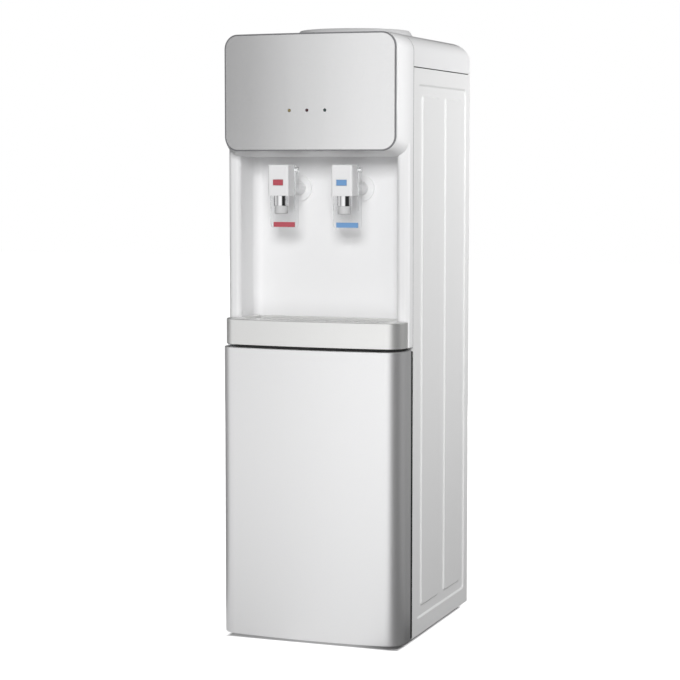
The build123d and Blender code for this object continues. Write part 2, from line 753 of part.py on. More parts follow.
with BuildPart() as drip_tray:
    with BuildSketch(Plane.XY.offset(tray_bottom_z)):
        add(well_plan(tray_fit))
    extrude(amount=tray_top_z - tray_bottom_z)
    with BuildSketch(Plane.XY.offset(tray_bottom_z + tray_wall)):
        add(well_plan(tray_fit + tray_wall))
    extrude(amount=tray_top_z - tray_bottom_z, mode=Mode.SUBTRACT)
drip_tray.part.label = "drip_tray"
export_step(drip_tray.part, "parts/drip_tray.step")

well_depth = well_end_y - well_corner_y
bar_count = int(2 * (well_half - bar_margin) / bar_pitch)
with BuildPart() as drip_grille:
    with BuildSketch(Plane.XY.offset(grille_bottom_z)):
        add(well_plan(tray_fit))
        with Locations((0, well_corner_y + well_depth / 2)):
            with GridLocations(bar_pitch, bar_pitch, bar_count, 1):
                SlotOverall(well_depth - 2 * bar_margin, bar_slot, rotation=90, mode=Mode.SUBTRACT)
    extrude(amount=grille_thickness)
drip_grille.part.label = "drip_grille"
export_step(drip_grille.part, "parts/drip_grille.step")

# Taps: body with wall flange and shank, chrome collar, spout, stem, paddle and markers
collar_outer = 12
collar_height = 16
collar_inner = 9.2
spout_radius = 10.5
spout_neck = 9
spout_drop = 13
spout_bore = 4.5
spout_reach = 43
chamber_radius = 7
chamber_height = 15
stem_radius = 2.5
seal_radius = 6.2
seal_height = 3
stem_height = 11
pivot_drop = 8
pivot_inset = 8.5
pivot_radius = 2.2
hub_radius = 4.5
arm_width = 5.9
arm_gap = 0.3
paddle_thickness = 3.5
paddle_height = 101
paddle_plate = 28
paddle_radius = 6
bar_width = 37
bar_height = 8
bar_rise = 1.4
bar_depth = 1.2
mark_width = 17
mark_height = 9
mark_drop = 28
mark_length = 6
mark_proud = 0.4
lock_travel = 2
nut_radius = 12
nut_thickness = 6
block_middle_y = (block_front_y + block_rear_y) / 2
spout_y = seam_y - spout_reach
pivot_y = block_rear_y - pivot_inset
pivot_z = block_top_z - pivot_drop
mark_z = block_top_z - mark_drop
paddle_half = block_width / 2 + arm_gap + arm_width
paddle_bottom_z = block_top_z - paddle_height
tap_places = [(-tap_spacing / 2, "hot"), (tap_spacing / 2, "cold")]

for tap_x, tap_name in tap_places:
    pocket_depth = mark_length - mark_proud + fit
    if tap_name == "hot":
        pocket_depth = pocket_depth + lock_travel
    with BuildPart() as tap_body:
        with BuildSketch(Plane.XY.offset(block_bottom_z)):
            with Locations((tap_x, block_middle_y)):
                RectangleRounded(block_width, block_depth, block_radius)
        extrude(amount=block_height)
        fillet(tap_body.faces().sort_by(Axis.Z)[-1].edges(), block_radius / 2)
        with BuildSketch(Plane.XZ.offset(-block_rear_y)):
            with Locations((tap_x, barrel_z)):
                Circle(barrel_radius)
        extrude(amount=block_rear_y - alcove_wall_y)
        with BuildSketch(Plane.XZ.offset(-alcove_wall_y)):
            with Locations((tap_x, barrel_z)):
                Circle(flange_radius)
        extrude(amount=flange_thickness)
        with BuildSketch(Plane.XZ.offset(-alcove_wall_y)):
            with Locations((tap_x, barrel_z)):
                Circle(shank_radius)
        extrude(amount=-liner_wall - shank_length)
        with BuildSketch(Plane.XZ.offset(-shank_end_y)):
            with Locations((tap_x, barrel_z)):
                Circle(barb_radius)
        extrude(amount=-barb_length)
        # Hinge pins for the paddle
        with BuildSketch(Plane.YZ.offset(tap_x - paddle_half)):
            with Locations((pivot_y, pivot_z)):
                Circle(pivot_radius)
        extrude(amount=2 * paddle_half)
        # Waterway: valve chamber from below, then back through the barrel and shank
        with BuildSketch(Plane.XY.offset(block_bottom_z)):
            with Locations((tap_x, spout_y)):
                Circle(chamber_radius)
        extrude(amount=chamber_height, mode=Mode.SUBTRACT)
        with BuildSketch(Plane.XZ.offset(-spout_y)):
            with Locations((tap_x, barrel_z)):
                Circle(water_radius)
        extrude(amount=-(shank_end_y + barb_length + overrun - spout_y), mode=Mode.SUBTRACT)
        with BuildSketch(Plane.XZ.offset(-block_front_y)):
            with Locations((tap_x, mark_z)):
                Rectangle(mark_width + 2 * fit, mark_height + 2 * fit)
        extrude(amount=-pocket_depth, mode=Mode.SUBTRACT)
    tap_body.part.label = f"{tap_name}_tap_body"
    export_step(tap_body.part, f"parts/{tap_name}_tap_body.step")

    with BuildPart() as tap_stem:
        with BuildSketch(Plane.XY.offset(block_bottom_z + fit)):
            with Locations((tap_x, spout_y)):
                Circle(seal_radius)
        extrude(amount=seal_height)
        with BuildSketch(Plane.XY.offset(block_bottom_z + fit)):
            with Locations((tap_x, spout_y)):
                Circle(stem_radius)
        extrude(amount=stem_height)
    tap_stem.part.label = f"{tap_name}_tap_stem"
    export_step(tap_stem.part, f"parts/{tap_name}_tap_stem.step")

    with BuildPart() as paddle:
        with BuildSketch(Plane.XZ.offset(-(pivot_y - paddle_thickness / 2))):
            with Locations((tap_x, paddle_bottom_z + paddle_height / 2)):
                RectangleRounded(2 * paddle_half, paddle_height, paddle_radius)
            with Locations((tap_x, paddle_bottom_z + paddle_plate + paddle_height / 2)):
                Rectangle(block_width + 2 * arm_gap, paddle_height, mode=Mode.SUBTRACT)
        extrude(amount=-paddle_thickness)
        # Hubs on both arms, bored for the pins
        with BuildSketch(Plane.YZ.offset(tap_x - paddle_half)):
            with Locations((pivot_y, pivot_z)):
                Circle(hub_radius)
        extrude(amount=arm_width)
        with BuildSketch(Plane.YZ.offset(tap_x + paddle_half)):
            with Locations((pivot_y, pivot_z)):
                Circle(hub_radius)
        extrude(amount=-arm_width)
        with BuildSketch(Plane.YZ.offset(tap_x - paddle_half - overrun)):
            with Locations((pivot_y, pivot_z)):
                Circle(pivot_radius + pin_fit)
        extrude(amount=2 * (paddle_half + overrun), mode=Mode.SUBTRACT)
        with BuildSketch(Plane.XZ.offset(-(pivot_y - paddle_thickness / 2))):
            with Locations((tap_x, paddle_bottom_z + bar_rise + bar_height / 2)):
                Rectangle(bar_width, bar_height)
        extrude(amount=-bar_depth, mode=Mode.SUBTRACT)
    paddle.part.label = f"{tap_name}_paddle"
    export_step(paddle.part, f"parts/{tap_name}_paddle.step")

    with BuildPart() as paddle_bar:
        with BuildSketch(Plane.XZ.offset(-(pivot_y - paddle_thickness / 2 + bar_depth))):
            with Locations((tap_x, paddle_bottom_z + bar_rise + bar_height / 2)):
                Rectangle(bar_width, bar_height)
        extrude(amount=bar_depth)
    paddle_bar.part.label = f"{tap_name}_paddle_bar"
    export_step(paddle_bar.part, f"parts/{tap_name}_paddle_bar.step")

    with BuildPart() as mark:
        with BuildSketch(Plane.XZ.offset(-(block_front_y - mark_proud + mark_length))):
            with Locations((tap_x, mark_z)):
                Rectangle(mark_width, mark_height)
        extrude(amount=mark_length)
        fillet(mark.faces().sort_by(Axis.Y)[0].edges(), mark_proud)
    mark_name = "hot_lock_button" if tap_name == "hot" else "cold_mark"
    mark.part.label = mark_name
    export_step(mark.part, f"parts/{mark_name}.step")

with BuildPart() as tap_collars:
    with BuildSketch(Plane.XY.offset(block_bottom_z - collar_height)):
        for tap_x, tap_name in tap_places:
            with Locations((tap_x, spout_y)):
                Circle(collar_outer)
                Circle(collar_inner, mode=Mode.SUBTRACT)
    extrude(amount=collar_height)
tap_collars.part.label = "tap_collars"
export_step(tap_collars.part, "parts/tap_collars.step")

with BuildPart() as tap_spouts:
    with BuildSketch(Plane.XY.offset(block_bottom_z - collar_height)):
        for tap_x, tap_name in tap_places:
            with Locations((tap_x, spout_y)):
                Circle(spout_neck)
    extrude(amount=collar_height)
    with BuildSketch(Plane.XY.offset(block_bottom_z - collar_height - spout_drop)):
        for tap_x, tap_name in tap_places:
            with Locations((tap_x, spout_y)):
                Circle(spout_radius)
    extrude(amount=spout_drop)
    fillet(tap_spouts.edges().group_by(Axis.Z)[0], soft_edge)
    with BuildSketch(Plane.XY.offset(block_bottom_z - collar_height - spout_drop)):
        for tap_x, tap_name in tap_places:
            with Locations((tap_x, spout_y)):
                Circle(spout_bore)
    extrude(amount=collar_height + spout_drop, mode=Mode.SUBTRACT)
tap_spouts.part.label = "tap_spouts"
export_step(tap_spouts.part, "parts/tap_spouts.step")

with BuildPart() as tap_nuts:
    with BuildSketch(Plane.XZ.offset(-alcove_rear_y)):
        for tap_x, tap_name in tap_places:
            with Locations((tap_x, barrel_z)):
                RegularPolygon(nut_radius, 6)
                Circle(shank_radius + pin_fit, mode=Mode.SUBTRACT)
    extrude(amount=-nut_thickness)
tap_nuts.part.label = "tap_nuts"
export_step(tap_nuts.part, "parts/tap_nuts.step")

# Door: bowed outer shell, inner liner and magnetic gasket, on two pin hinges at its left side
door_standoff = 9.3
door_radius = 30
door_edge = 1.2
hinge_inset = 8
hinge_reach = 22
hinge_pin_radius = 2.5
hinge_pin_length = 12
hinge_boss_radius = 5.5
hinge_boss_height = 16
hinge_plate = 2
hinge_gap = 1
hinge_leg = 34
hinge_leg_width = 7
liner_sheet = 3
tub_margin = 34
tub_depth = 9
gasket_margin = 2.5
gasket_hinge_margin = 9
gasket_width = 12
gasket_base = 3
gasket_lip = 1.2
door_corner_y = seam_y - door_reach
door_end_y = seam_y - door_standoff
door_cavity_half = half_width - moulding
pin_x = -half_width + hinge_inset
pin_y = seam_y - hinge_reach
door_middle_z = (door_bottom_z + door_top_z) / 2
with BuildPart() as door_shell:
    with BuildSketch(Plane.XY.offset(door_bottom_z)):
        add(bowed_outline(half_width, door_corner_y, door_end_y, front_bow, door_radius))
    extrude(amount=door_height)
    rounded = (door_shell.faces().sort_by(Axis.Z)[-1].edges()
               + door_shell.faces().sort_by(Axis.Z)[0].edges())
    fillet(rounded.filter_by(lambda edge: edge.center().Y < door_end_y - fit), door_edge)
    with BuildSketch(Plane.XY.offset(door_bottom_z + moulding)):
        add(bowed_outline(door_cavity_half, door_corner_y + moulding, door_end_y + overrun,
                          front_bow, door_radius - moulding))
    extrude(amount=door_height - 2 * moulding, mode=Mode.SUBTRACT)
    for boss_z in (door_bottom_z, door_top_z - hinge_boss_height):
        with BuildSketch(Plane.XY.offset(boss_z)):
            with Locations((pin_x, pin_y)):
                Circle(hinge_boss_radius)
        extrude(amount=hinge_boss_height)
    for bore_z in (door_bottom_z, door_top_z - hinge_pin_length - fit):
        with BuildSketch(Plane.XY.offset(bore_z)):
            with Locations((pin_x, pin_y)):
                Circle(hinge_pin_radius + pin_fit)
        extrude(amount=hinge_pin_length + fit, mode=Mode.SUBTRACT)
door_shell.part.label = "door_shell"
export_step(door_shell.part, "parts/door_shell.step")

door_liner_half = door_cavity_half - fit
door_liner_height = door_height - 2 * (moulding + fit)
with BuildPart() as door_liner:
    with BuildSketch(Plane.XZ.offset(-door_end_y)):
        with Locations((0, door_middle_z)):
            Rectangle(2 * door_liner_half, door_liner_height)
    extrude(amount=liner_sheet)
    with BuildSketch(Plane.XZ.offset(-door_end_y)):
        with Locations((0, door_middle_z)):
            RectangleRounded(2 * (door_liner_half - tub_margin), door_liner_height - 2 * tub_margin,
                             gasket_width)
    extrude(amount=liner_sheet + tub_depth)
    with BuildSketch(Plane.XZ.offset(-door_end_y)):
        with Locations((0, door_middle_z)):
            RectangleRounded(2 * (door_liner_half - tub_margin - plate),
                             door_liner_height - 2 * (tub_margin + plate), gasket_width - plate)
    extrude(amount=liner_sheet + tub_depth - plate, mode=Mode.SUBTRACT)
door_liner.part.label = "door_liner"
export_step(door_liner.part, "parts/door_liner.step")

# The gasket keeps clear of the hinge legs at the left and reaches the door's edge elsewhere
gasket_half = half_width - (gasket_margin + gasket_hinge_margin) / 2
gasket_x = (gasket_hinge_margin - gasket_margin) / 2
gasket_height = door_height - 2 * gasket_margin
with BuildPart() as door_gasket:
    with BuildSketch(Plane.XZ.offset(-door_end_y)):
        with Locations((gasket_x, door_middle_z)):
            RectangleRounded(2 * gasket_half, gasket_height, gasket_width)
            Rectangle(2 * (gasket_half - gasket_width), gasket_height - 2 * gasket_width,
                      mode=Mode.SUBTRACT)
    extrude(amount=-gasket_base)
    with BuildSketch(Plane.XZ.offset(-door_end_y - gasket_base)):
        with Locations((gasket_x, door_middle_z)):
            RectangleRounded(2 * (gasket_half - gasket_lip), gasket_height - 2 * gasket_lip,
                             gasket_width - gasket_lip)
            Rectangle(2 * (gasket_half - gasket_width + gasket_lip),
                      gasket_height - 2 * (gasket_width - gasket_lip), mode=Mode.SUBTRACT)
    extrude(amount=-(door_standoff - gasket_base - fit))
door_gasket.part.label = "door_gasket"
export_step(door_gasket.part, "parts/door_gasket.step")

# Hinge brackets: a leg on the cabinet's front edge, a plate over the door's end and a pin
hinges = [("upper", door_top_z + hinge_gap, door_top_z + hinge_gap + hinge_plate, -1),
          ("lower", door_bottom_z - fit - hinge_plate, door_bottom_z - fit, 1)]
for hinge_name, plate_bottom_z, plate_top_z, pin_way in hinges:
    if pin_way < 0:
        leg_bottom_z = plate_top_z - hinge_leg
        pin_start_z = plate_bottom_z
        pin_travel = hinge_gap + hinge_pin_length
    else:
        leg_bottom_z = plate_bottom_z
        pin_start_z = plate_top_z
        pin_travel = fit + hinge_pin_length
    with BuildPart() as hinge:
        with BuildSketch(Plane.XY.offset(plate_bottom_z)) as hinge_plan:
            with Locations((pin_x, (pin_y - hinge_inset + seam_y) / 2)):
                Rectangle(2 * hinge_inset, seam_y - pin_y + hinge_inset)
            fillet(hinge_plan.vertices().group_by(Axis.Y)[0], hinge_inset / 2)
        extrude(amount=hinge_plate)
        with BuildSketch(Plane.XY.offset(leg_bottom_z)):
            with Locations((-half_width + hinge_leg_width / 2, seam_y - hinge_plate / 2)):
                Rectangle(hinge_leg_width, hinge_plate)
        extrude(amount=hinge_leg)
        with BuildSketch(Plane.XY.offset(pin_start_z)):
            with Locations((pin_x, pin_y)):
                Circle(hinge_pin_radius)
        extrude(amount=pin_way * pin_travel)
    hinge.part.label = f"hinge_{hinge_name}"
    export_step(hinge.part, f"parts/hinge_{hinge_name}.step")

# Tank shelf, bent from one sheet, under the cold tank
hose_step = 8
hose_front_y = shank_end_y + barb_length + hose_step
foam_gap = 9
foam_share = 0.2508
foam_radius = cabinet_depth * foam_share
shelf_front_y = hose_front_y + foam_gap
shelf_flange = 12
port_x = 25
port_y = middle_y
feed_step = 20
feed_y = middle_y + feed_step
port_radius = 4
port_bore = 2.8
port_hole = 8
suction_x = -30
suction_step = 44
suction_y = middle_y + suction_step
cold_port_spots = [(port_x, port_y), (-port_x, feed_y)]
with BuildPart() as tank_shelf:
    with BuildSketch(Plane.XY.offset(shelf_bottom_z)):
        with Locations((0, (shelf_front_y + back_panel_y) / 2)):
            Rectangle(2 * inner_half, back_panel_y - shelf_front_y)
        with Locations(*cold_port_spots, (suction_x, suction_y)):
            Circle(port_hole, mode=Mode.SUBTRACT)
    extrude(amount=plate)
    with BuildSketch(Plane.XY.offset(shelf_top_z)):
        with Locations((0, back_panel_y - plate / 2)):
            Rectangle(2 * inner_half, plate)
    extrude(amount=rear_tab)
    with BuildSketch(Plane.XY.offset(shelf_bottom_z)):
        for side in (-1, 1):
            with Locations((side * (inner_half - plate / 2), (shelf_front_y + back_panel_y) / 2)):
                Rectangle(plate, back_panel_y - shelf_front_y)
    extrude(amount=-shelf_flange)
    with BuildSketch(Plane.XZ.offset(-back_panel_y)):
        with Locations((0, screw_rows_z[1])):
            with GridLocations(screw_spread, screw_spread, screw_columns, 1):
                Circle(screw_radius + pin_fit)
    extrude(amount=plate, mode=Mode.SUBTRACT)
tank_shelf.part.label = "tank_shelf"
export_step(tank_shelf.part, "parts/tank_shelf.step")

# Cold tank in its foam, with a coil of copper tube round it and a lid round the bottle's neck
foam_wall = 12
coil_radius = 3
tank_wall = 1
foam_head = 12
coil_pitch = 12
coil_turns = 8
coil_rise = 20
lid_thickness = 3
tank_radius = foam_radius - foam_wall - 2 * coil_radius - 2 * fit
foam_top_z = side_top_z - foam_head
tank_floor_z = shelf_top_z + foam_wall
hose_end_z = shelf_bottom_z - soft_edge
port_overlap = 10
port_length = foam_wall + plate + port_overlap
with BuildPart() as cold_foam:
    with BuildSketch(Plane.XY.offset(shelf_top_z)):
        with Locations((0, middle_y)):
            Circle(foam_radius)
        with Locations(*cold_port_spots):
            Circle(port_radius + fit, mode=Mode.SUBTRACT)
    extrude(amount=foam_wall)
    with BuildSketch(Plane.XY.offset(tank_floor_z)):
        with Locations((0, middle_y)):
            Circle(foam_radius)
            Circle(foam_radius - foam_wall, mode=Mode.SUBTRACT)
    extrude(amount=foam_top_z - tank_floor_z)
cold_foam.part.label = "cold_foam"
export_step(cold_foam.part, "parts/cold_foam.step")

with BuildPart() as cold_tank:
    with BuildSketch(Plane.XY.offset(tank_floor_z)):
        with Locations((0, middle_y)):
            Circle(tank_radius)
    extrude(amount=foam_top_z - tank_floor_z)
    with BuildSketch(Plane.XY.offset(tank_floor_z + tank_wall)):
        with Locations((0, middle_y)):
            Circle(tank_radius - tank_wall)
    extrude(amount=foam_top_z - tank_floor_z, mode=Mode.SUBTRACT)
    with BuildSketch(Plane.XY.offset(tank_floor_z)):
        with Locations(*cold_port_spots):
            Circle(port_radius)
    extrude(amount=-port_length)
    with BuildSketch(Plane.XY.offset(tank_floor_z - port_length)):
        with Locations(*cold_port_spots):
            Circle(port_bore)
    extrude(amount=port_length + tank_wall, mode=Mode.SUBTRACT)
cold_tank.part.label = "cold_tank"
export_step(cold_tank.part, "parts/cold_tank.step")

with BuildPart() as tank_lid:
    with BuildSketch(Plane.XY.offset(foam_top_z)):
        with Locations((0, middle_y)):
            Circle(foam_radius)
            Circle(neck_radius + collar_wall + fit, mode=Mode.SUBTRACT)
    extrude(amount=lid_thickness)
tank_lid.part.label = "tank_lid"
export_step(tank_lid.part, "parts/tank_lid.step")

with BuildPart() as evaporator_coil:
    with BuildLine() as coil_path:
        Helix(coil_pitch, coil_pitch * coil_turns, tank_radius + coil_radius + fit,
              center=(0, middle_y, tank_floor_z + coil_rise))
    with BuildSketch(Plane(origin=coil_path.line @ 0, z_dir=coil_path.line % 0)):
        Circle(coil_radius)
    sweep(path=coil_path.line, is_frenet=True)
evaporator_coil.part.label = "evaporator_coil"
export_step(evaporator_coil.part, "parts/evaporator_coil.step")

# Hot tank with its band heater inside an insulating jacket
hot_inset = 83
hot_x = -half_width + hot_inset
hot_radius = 42
heater_thickness = 2.5
heater_height = 40
jacket_wall = 10
jacket_floor = 10
jacket_head = 8
hot_port_step = 12
jacket_radius = hot_radius + heater_thickness + 2 * fit + jacket_wall
hot_floor_z = deck_top_z + jacket_floor
hot_top_z = jacket_top_z - jacket_wall - jacket_head
hot_ports = [(hot_x + hot_port_step, port_y), (hot_x - hot_port_step, feed_y)]
hot_port_top_z = jacket_top_z + port_overlap
drain_length = 9
with BuildPart() as hot_tank:
    with BuildSketch(Plane.XY.offset(hot_floor_z)):
        with Locations((hot_x, middle_y)):
            Circle(hot_radius)
    extrude(amount=hot_top_z - hot_floor_z)
    fillet(hot_tank.edges().filter_by(GeomType.CIRCLE), soft_edge)
    with BuildSketch(Plane.XZ.offset(-middle_y)):
        with Locations((drain_x, drain_z)):
            Circle(drain_pipe_radius)
    extrude(amount=-(back_panel_y + sheet + drain_length - middle_y))
    with BuildSketch(Plane.XY.offset(hot_top_z - soft_edge)):
        with Locations(*hot_ports):
            Circle(port_radius)
    extrude(amount=hot_port_top_z - hot_top_z + soft_edge)
    with BuildSketch(Plane.XY.offset(hot_floor_z + tank_wall)):
        with Locations((hot_x, middle_y)):
            Circle(hot_radius - tank_wall)
    extrude(amount=hot_top_z - hot_floor_z - 2 * tank_wall, mode=Mode.SUBTRACT)
    with BuildSketch(Plane.XY.offset(hot_top_z - 2 * tank_wall)):
        with Locations(*hot_ports):
            Circle(port_bore)
    extrude(amount=hot_port_top_z - hot_top_z + overrun, mode=Mode.SUBTRACT)
    with BuildSketch(Plane.XZ.offset(-middle_y)):
        with Locations((drain_x, drain_z)):
            Circle(drain_pipe_radius - plate)
    extrude(amount=-(rear_y - middle_y), mode=Mode.SUBTRACT)
hot_tank.part.label = "hot_tank"
export_step(hot_tank.part, "parts/hot_tank.step")

with BuildPart() as hot_jacket:
    with BuildSketch(Plane.XY.offset(deck_top_z)):
        with Locations((hot_x, middle_y)):
            Circle(jacket_radius)
    extrude(amount=hot_jacket_height)
    with BuildSketch(Plane.XY.offset(hot_floor_z)):
        with Locations((hot_x, middle_y)):
            Circle(jacket_radius - jacket_wall)
    extrude(amount=hot_top_z + jacket_head - hot_floor_z, mode=Mode.SUBTRACT)
    with BuildSketch(Plane.XY.offset(hot_top_z)):
        with Locations(*hot_ports):
            Circle(port_radius + fit)
    extrude(amount=hot_jacket_height, mode=Mode.SUBTRACT)
    with BuildSketch(Plane.XZ.offset(-middle_y)):
        with Locations((drain_x, drain_z)):
            Circle(drain_pipe_radius + fit)
    extrude(amount=-cabinet_depth, mode=Mode.SUBTRACT)
hot_jacket.part.label = "hot_jacket"
export_step(hot_jacket.part, "parts/hot_jacket.step")

heater_z = (hot_floor_z + hot_top_z + heater_height) / 2
with BuildPart() as heater_band:
    with BuildSketch(Plane.XY.offset(heater_z - heater_height / 2)):
        with Locations((hot_x, middle_y)):
            Circle(hot_radius + heater_thickness + fit)
            Circle(hot_radius + fit, mode=Mode.SUBTRACT)
    extrude(amount=heater_height)
heater_band.part.label = "heater_band"
export_step(heater_band.part, "parts/heater_band.step")

# Water hoses: cold tank to cold tap, hot tank to hot tap, cold tank to hot tank
hose_radius = 6
hose_bore = 4.15
tap_bend = 8
hose_bend = 12
hose_start_y = shank_end_y + fit
hot_hose_end_z = jacket_top_z + soft_edge
cold_route = [(tap_spacing / 2, hose_start_y, barrel_z), (tap_spacing / 2, hose_front_y, barrel_z),
              (tap_spacing / 2, hose_front_y, hose_z), (port_x, port_y, hose_z),
              (port_x, port_y, hose_end_z)]
hot_route = [(-tap_spacing / 2, hose_start_y, barrel_z), (-tap_spacing / 2, hose_front_y, barrel_z),
             (-tap_spacing / 2, hose_front_y, hose_z), (hot_ports[0][0], port_y, hose_z),
             (hot_ports[0][0], port_y, hot_hose_end_z)]
feed_route = [(-port_x, feed_y, hose_end_z), (-port_x, feed_y, hose_z),
              (hot_ports[1][0], feed_y, hose_z), (hot_ports[1][0], feed_y, hot_hose_end_z)]
cold_hose = tube_along(cold_route, [tap_bend, hose_bend, hose_bend], hose_radius, hose_bore)
hot_hose = tube_along(hot_route, [tap_bend, hose_bend, hose_bend], hose_radius, hose_bore)
feed_hose = tube_along(feed_route, [hose_bend, hose_bend], hose_radius, hose_bore)
with BuildPart() as water_hoses:
    add(cold_hose)
    add(hot_hose)
    add(feed_hose)
water_hoses.part.label = "water_hoses"
export_step(water_hoses.part, "parts/water_hoses.step")

# Compressor on four rubber grommets in the machine bay
grommet_radius = 9
grommet_height = 10
foot_plate_width = 150
foot_plate_depth = 92
foot_plate_sheet = 2.5
can_radius = 47
can_height = 118
can_dome = 26
seam_width = 3
seam_height = 4
stub_radius = 3.2
stub_height = 16
stub_step = 9
terminal_width = 30
terminal_depth = 34
terminal_height = 44
bay_y = (seam_y + store_depth + rear_y) / 2
can_z = pan_top_z + grommet_height + foot_plate_sheet
grommet_spots = [(side_x * (foot_plate_width / 2 - grommet_radius),
                  bay_y + side_y * (foot_plate_depth / 2 - grommet_radius))
                 for side_x in (-1, 1) for side_y in (-1, 1)]
stub_spots = [(-stub_step, bay_y), (stub_step, bay_y)]
with BuildPart() as compressor:
    with BuildSketch(Plane.XY.offset(can_z - foot_plate_sheet)):
        with Locations((0, bay_y)):
            RectangleRounded(foot_plate_width, foot_plate_depth, grommet_radius)
    extrude(amount=foot_plate_sheet)
    with BuildSketch(Plane.XY.offset(can_z)):
        with Locations((0, bay_y)):
            Circle(can_radius)
    extrude(amount=can_height)
    fillet(compressor.edges().group_by(Axis.Z)[-1], can_dome)
    with BuildSketch(Plane.XY.offset(can_z + can_height / 2)):
        with Locations((0, bay_y)):
            Circle(can_radius + seam_width)
    extrude(amount=seam_height)
    with BuildSketch(Plane.XY.offset(can_z + can_height - can_dome)):
        with Locations(*stub_spots):
            Circle(stub_radius)
    extrude(amount=can_dome + stub_height)
    with BuildSketch(Plane.XY.offset(can_z + foot_plate_sheet)):
        with Locations((can_radius + terminal_width / 2 - overrun, bay_y)):
            RectangleRounded(terminal_width, terminal_depth, soft_edge)
    extrude(amount=terminal_height)
compressor.part.label = "compressor"
export_step(compressor.part, "parts/compressor.step")

with BuildPart() as compressor_mounts:
    with BuildSketch(Plane.XY.offset(pan_top_z)):
        with Locations(*grommet_spots):
            Circle(grommet_radius)
    extrude(amount=grommet_height)
compressor_mounts.part.label = "compressor_mounts"
export_step(compressor_mounts.part, "parts/compressor_mounts.step")

# Wire-and-tube condenser in the recess behind the back panel
condenser_half = 75
condenser_passes = 12
pass_bend_share = 0.45
tube_radius = 2.4
wire_radius = 0.9
wire_pitch = 10
wire_end = 12
weld_gap = 0.05
condenser_standoff = 14
condenser_foot = 50
condenser_head = 40
tail_length = 30
return_gap = 14
return_bend = 6
condenser_y = back_panel_y + sheet + condenser_standoff
condenser_bottom_z = back_bottom_z + condenser_foot
condenser_top_z = side_top_z - condenser_head
tail_end_z = condenser_bottom_z - tail_length
pass_pitch = (condenser_top_z - condenser_bottom_z) / (condenser_passes - 1)
pass_bend = pass_pitch * pass_bend_share
return_x = condenser_half + return_gap
condenser_route = [(-condenser_half, condenser_y, tail_end_z)]
for index in range(condenser_passes):
    pass_z = condenser_bottom_z + index * pass_pitch
    pass_side = -1 if index % 2 == 0 else 1
    condenser_route.append((pass_side * condenser_half, condenser_y, pass_z))
    if index < condenser_passes - 1:
        condenser_route.append((-pass_side * condenser_half, condenser_y, pass_z))
condenser_route.append((return_x, condenser_y, condenser_top_z))
condenser_route.append((return_x, condenser_y, tail_end_z))
condenser_bends = [pass_bend] * (2 * condenser_passes - 2) + [return_bend, return_bend]
wire_count = int(2 * (condenser_half - wire_pitch) / wire_pitch) + 1
wire_length = condenser_top_z - condenser_bottom_z + 2 * wire_end
wire_step = tube_radius + weld_gap + wire_radius
condenser_tube = rod_along(condenser_route, condenser_bends, tube_radius)
with BuildPart() as condenser:
    add(condenser_tube)
    with BuildSketch(Plane.XY.offset(condenser_bottom_z - wire_end)):
        with Locations((0, condenser_y - wire_step), (0, condenser_y + wire_step)):
            with GridLocations(wire_pitch, wire_pitch, wire_count, 1):
                Circle(wire_radius)
    extrude(amount=wire_length)
condenser.part.label = "condenser"
export_step(condenser.part, "parts/condenser.step")

# Saddles that hold the condenser off the back panel
clip_passes = (1, 9)
clip_columns = 4
clip_width = 5
clip_half_height = 5.5
clip_cover = 2
clip_x = clip_columns * wire_pitch
clip_length = condenser_standoff + tube_radius + clip_cover
with BuildPart() as condenser_clips:
    for clip_pass in clip_passes:
        clip_z = condenser_bottom_z + clip_pass * pass_pitch
        with BuildSketch(Plane.XZ.offset(-back_panel_y - sheet)):
            with Locations((-clip_x, clip_z), (clip_x, clip_z)):
                Rectangle(clip_width, 2 * clip_half_height)
        extrude(amount=-clip_length)
        with BuildSketch(Plane.YZ.offset(-half_width)):
            with Locations((condenser_y, clip_z)):
                Circle(tube_radius + weld_gap)
        extrude(amount=cabinet_width, mode=Mode.SUBTRACT)
condenser_clips.part.label = "condenser_clips"
export_step(condenser_clips.part, "parts/condenser_clips.step")

dryer_radius = 9
dryer_length = 66
dryer_taper = 5
dryer_bottom_z = tail_end_z - dryer_length
with BuildPart() as filter_dryer:
    with BuildSketch(Plane.XY.offset(dryer_bottom_z)):
        with Locations((return_x, condenser_y)):
            Circle(dryer_radius)
    extrude(amount=dryer_length)
    chamfer(filter_dryer.edges().filter_by(GeomType.CIRCLE), dryer_taper)
filter_dryer.part.label = "filter_dryer"
export_step(filter_dryer.part, "parts/filter_dryer.step")

# Refrigerant lines: discharge to the condenser, suction from the coil, capillary from the dryer
suction_radius = 4
discharge_radius = 3.2
capillary_radius = 1.3
line_bend = 10
capillary_bend = 5
suction_rise = 16
discharge_rise = 34
capillary_drop = 15
capillary_step = 7
capillary_climb = 60
line_head = 12
stub_top_z = can_z + can_height + stub_height
suction_run_z = shelf_bottom_z - line_head
capillary_z = dryer_bottom_z - capillary_drop
capillary_x = line_hole_x - capillary_step
suction_route = [(-stub_step, bay_y, stub_top_z), (-stub_step, bay_y, stub_top_z + suction_rise),
                 (line_hole_x, line_hole_y, stub_top_z + suction_rise),
                 (line_hole_x, line_hole_y, suction_run_z), (suction_x, suction_y, suction_run_z),
                 (suction_x, suction_y, shelf_top_z)]
discharge_route = [(stub_step, bay_y, stub_top_z), (stub_step, bay_y, stub_top_z + discharge_rise),
                   (-condenser_half, condenser_y, stub_top_z + discharge_rise),
                   (-condenser_half, condenser_y, tail_end_z)]
capillary_route = [(return_x, condenser_y, dryer_bottom_z), (return_x, condenser_y, capillary_z),
                   (capillary_x, condenser_y, capillary_z), (capillary_x, line_hole_y, capillary_z),
                   (capillary_x, line_hole_y, deck_top_z + capillary_climb),
                   (line_hole_x, line_hole_y, deck_top_z + capillary_climb)]
suction_line = rod_along(suction_route, [line_bend] * 4, suction_radius)
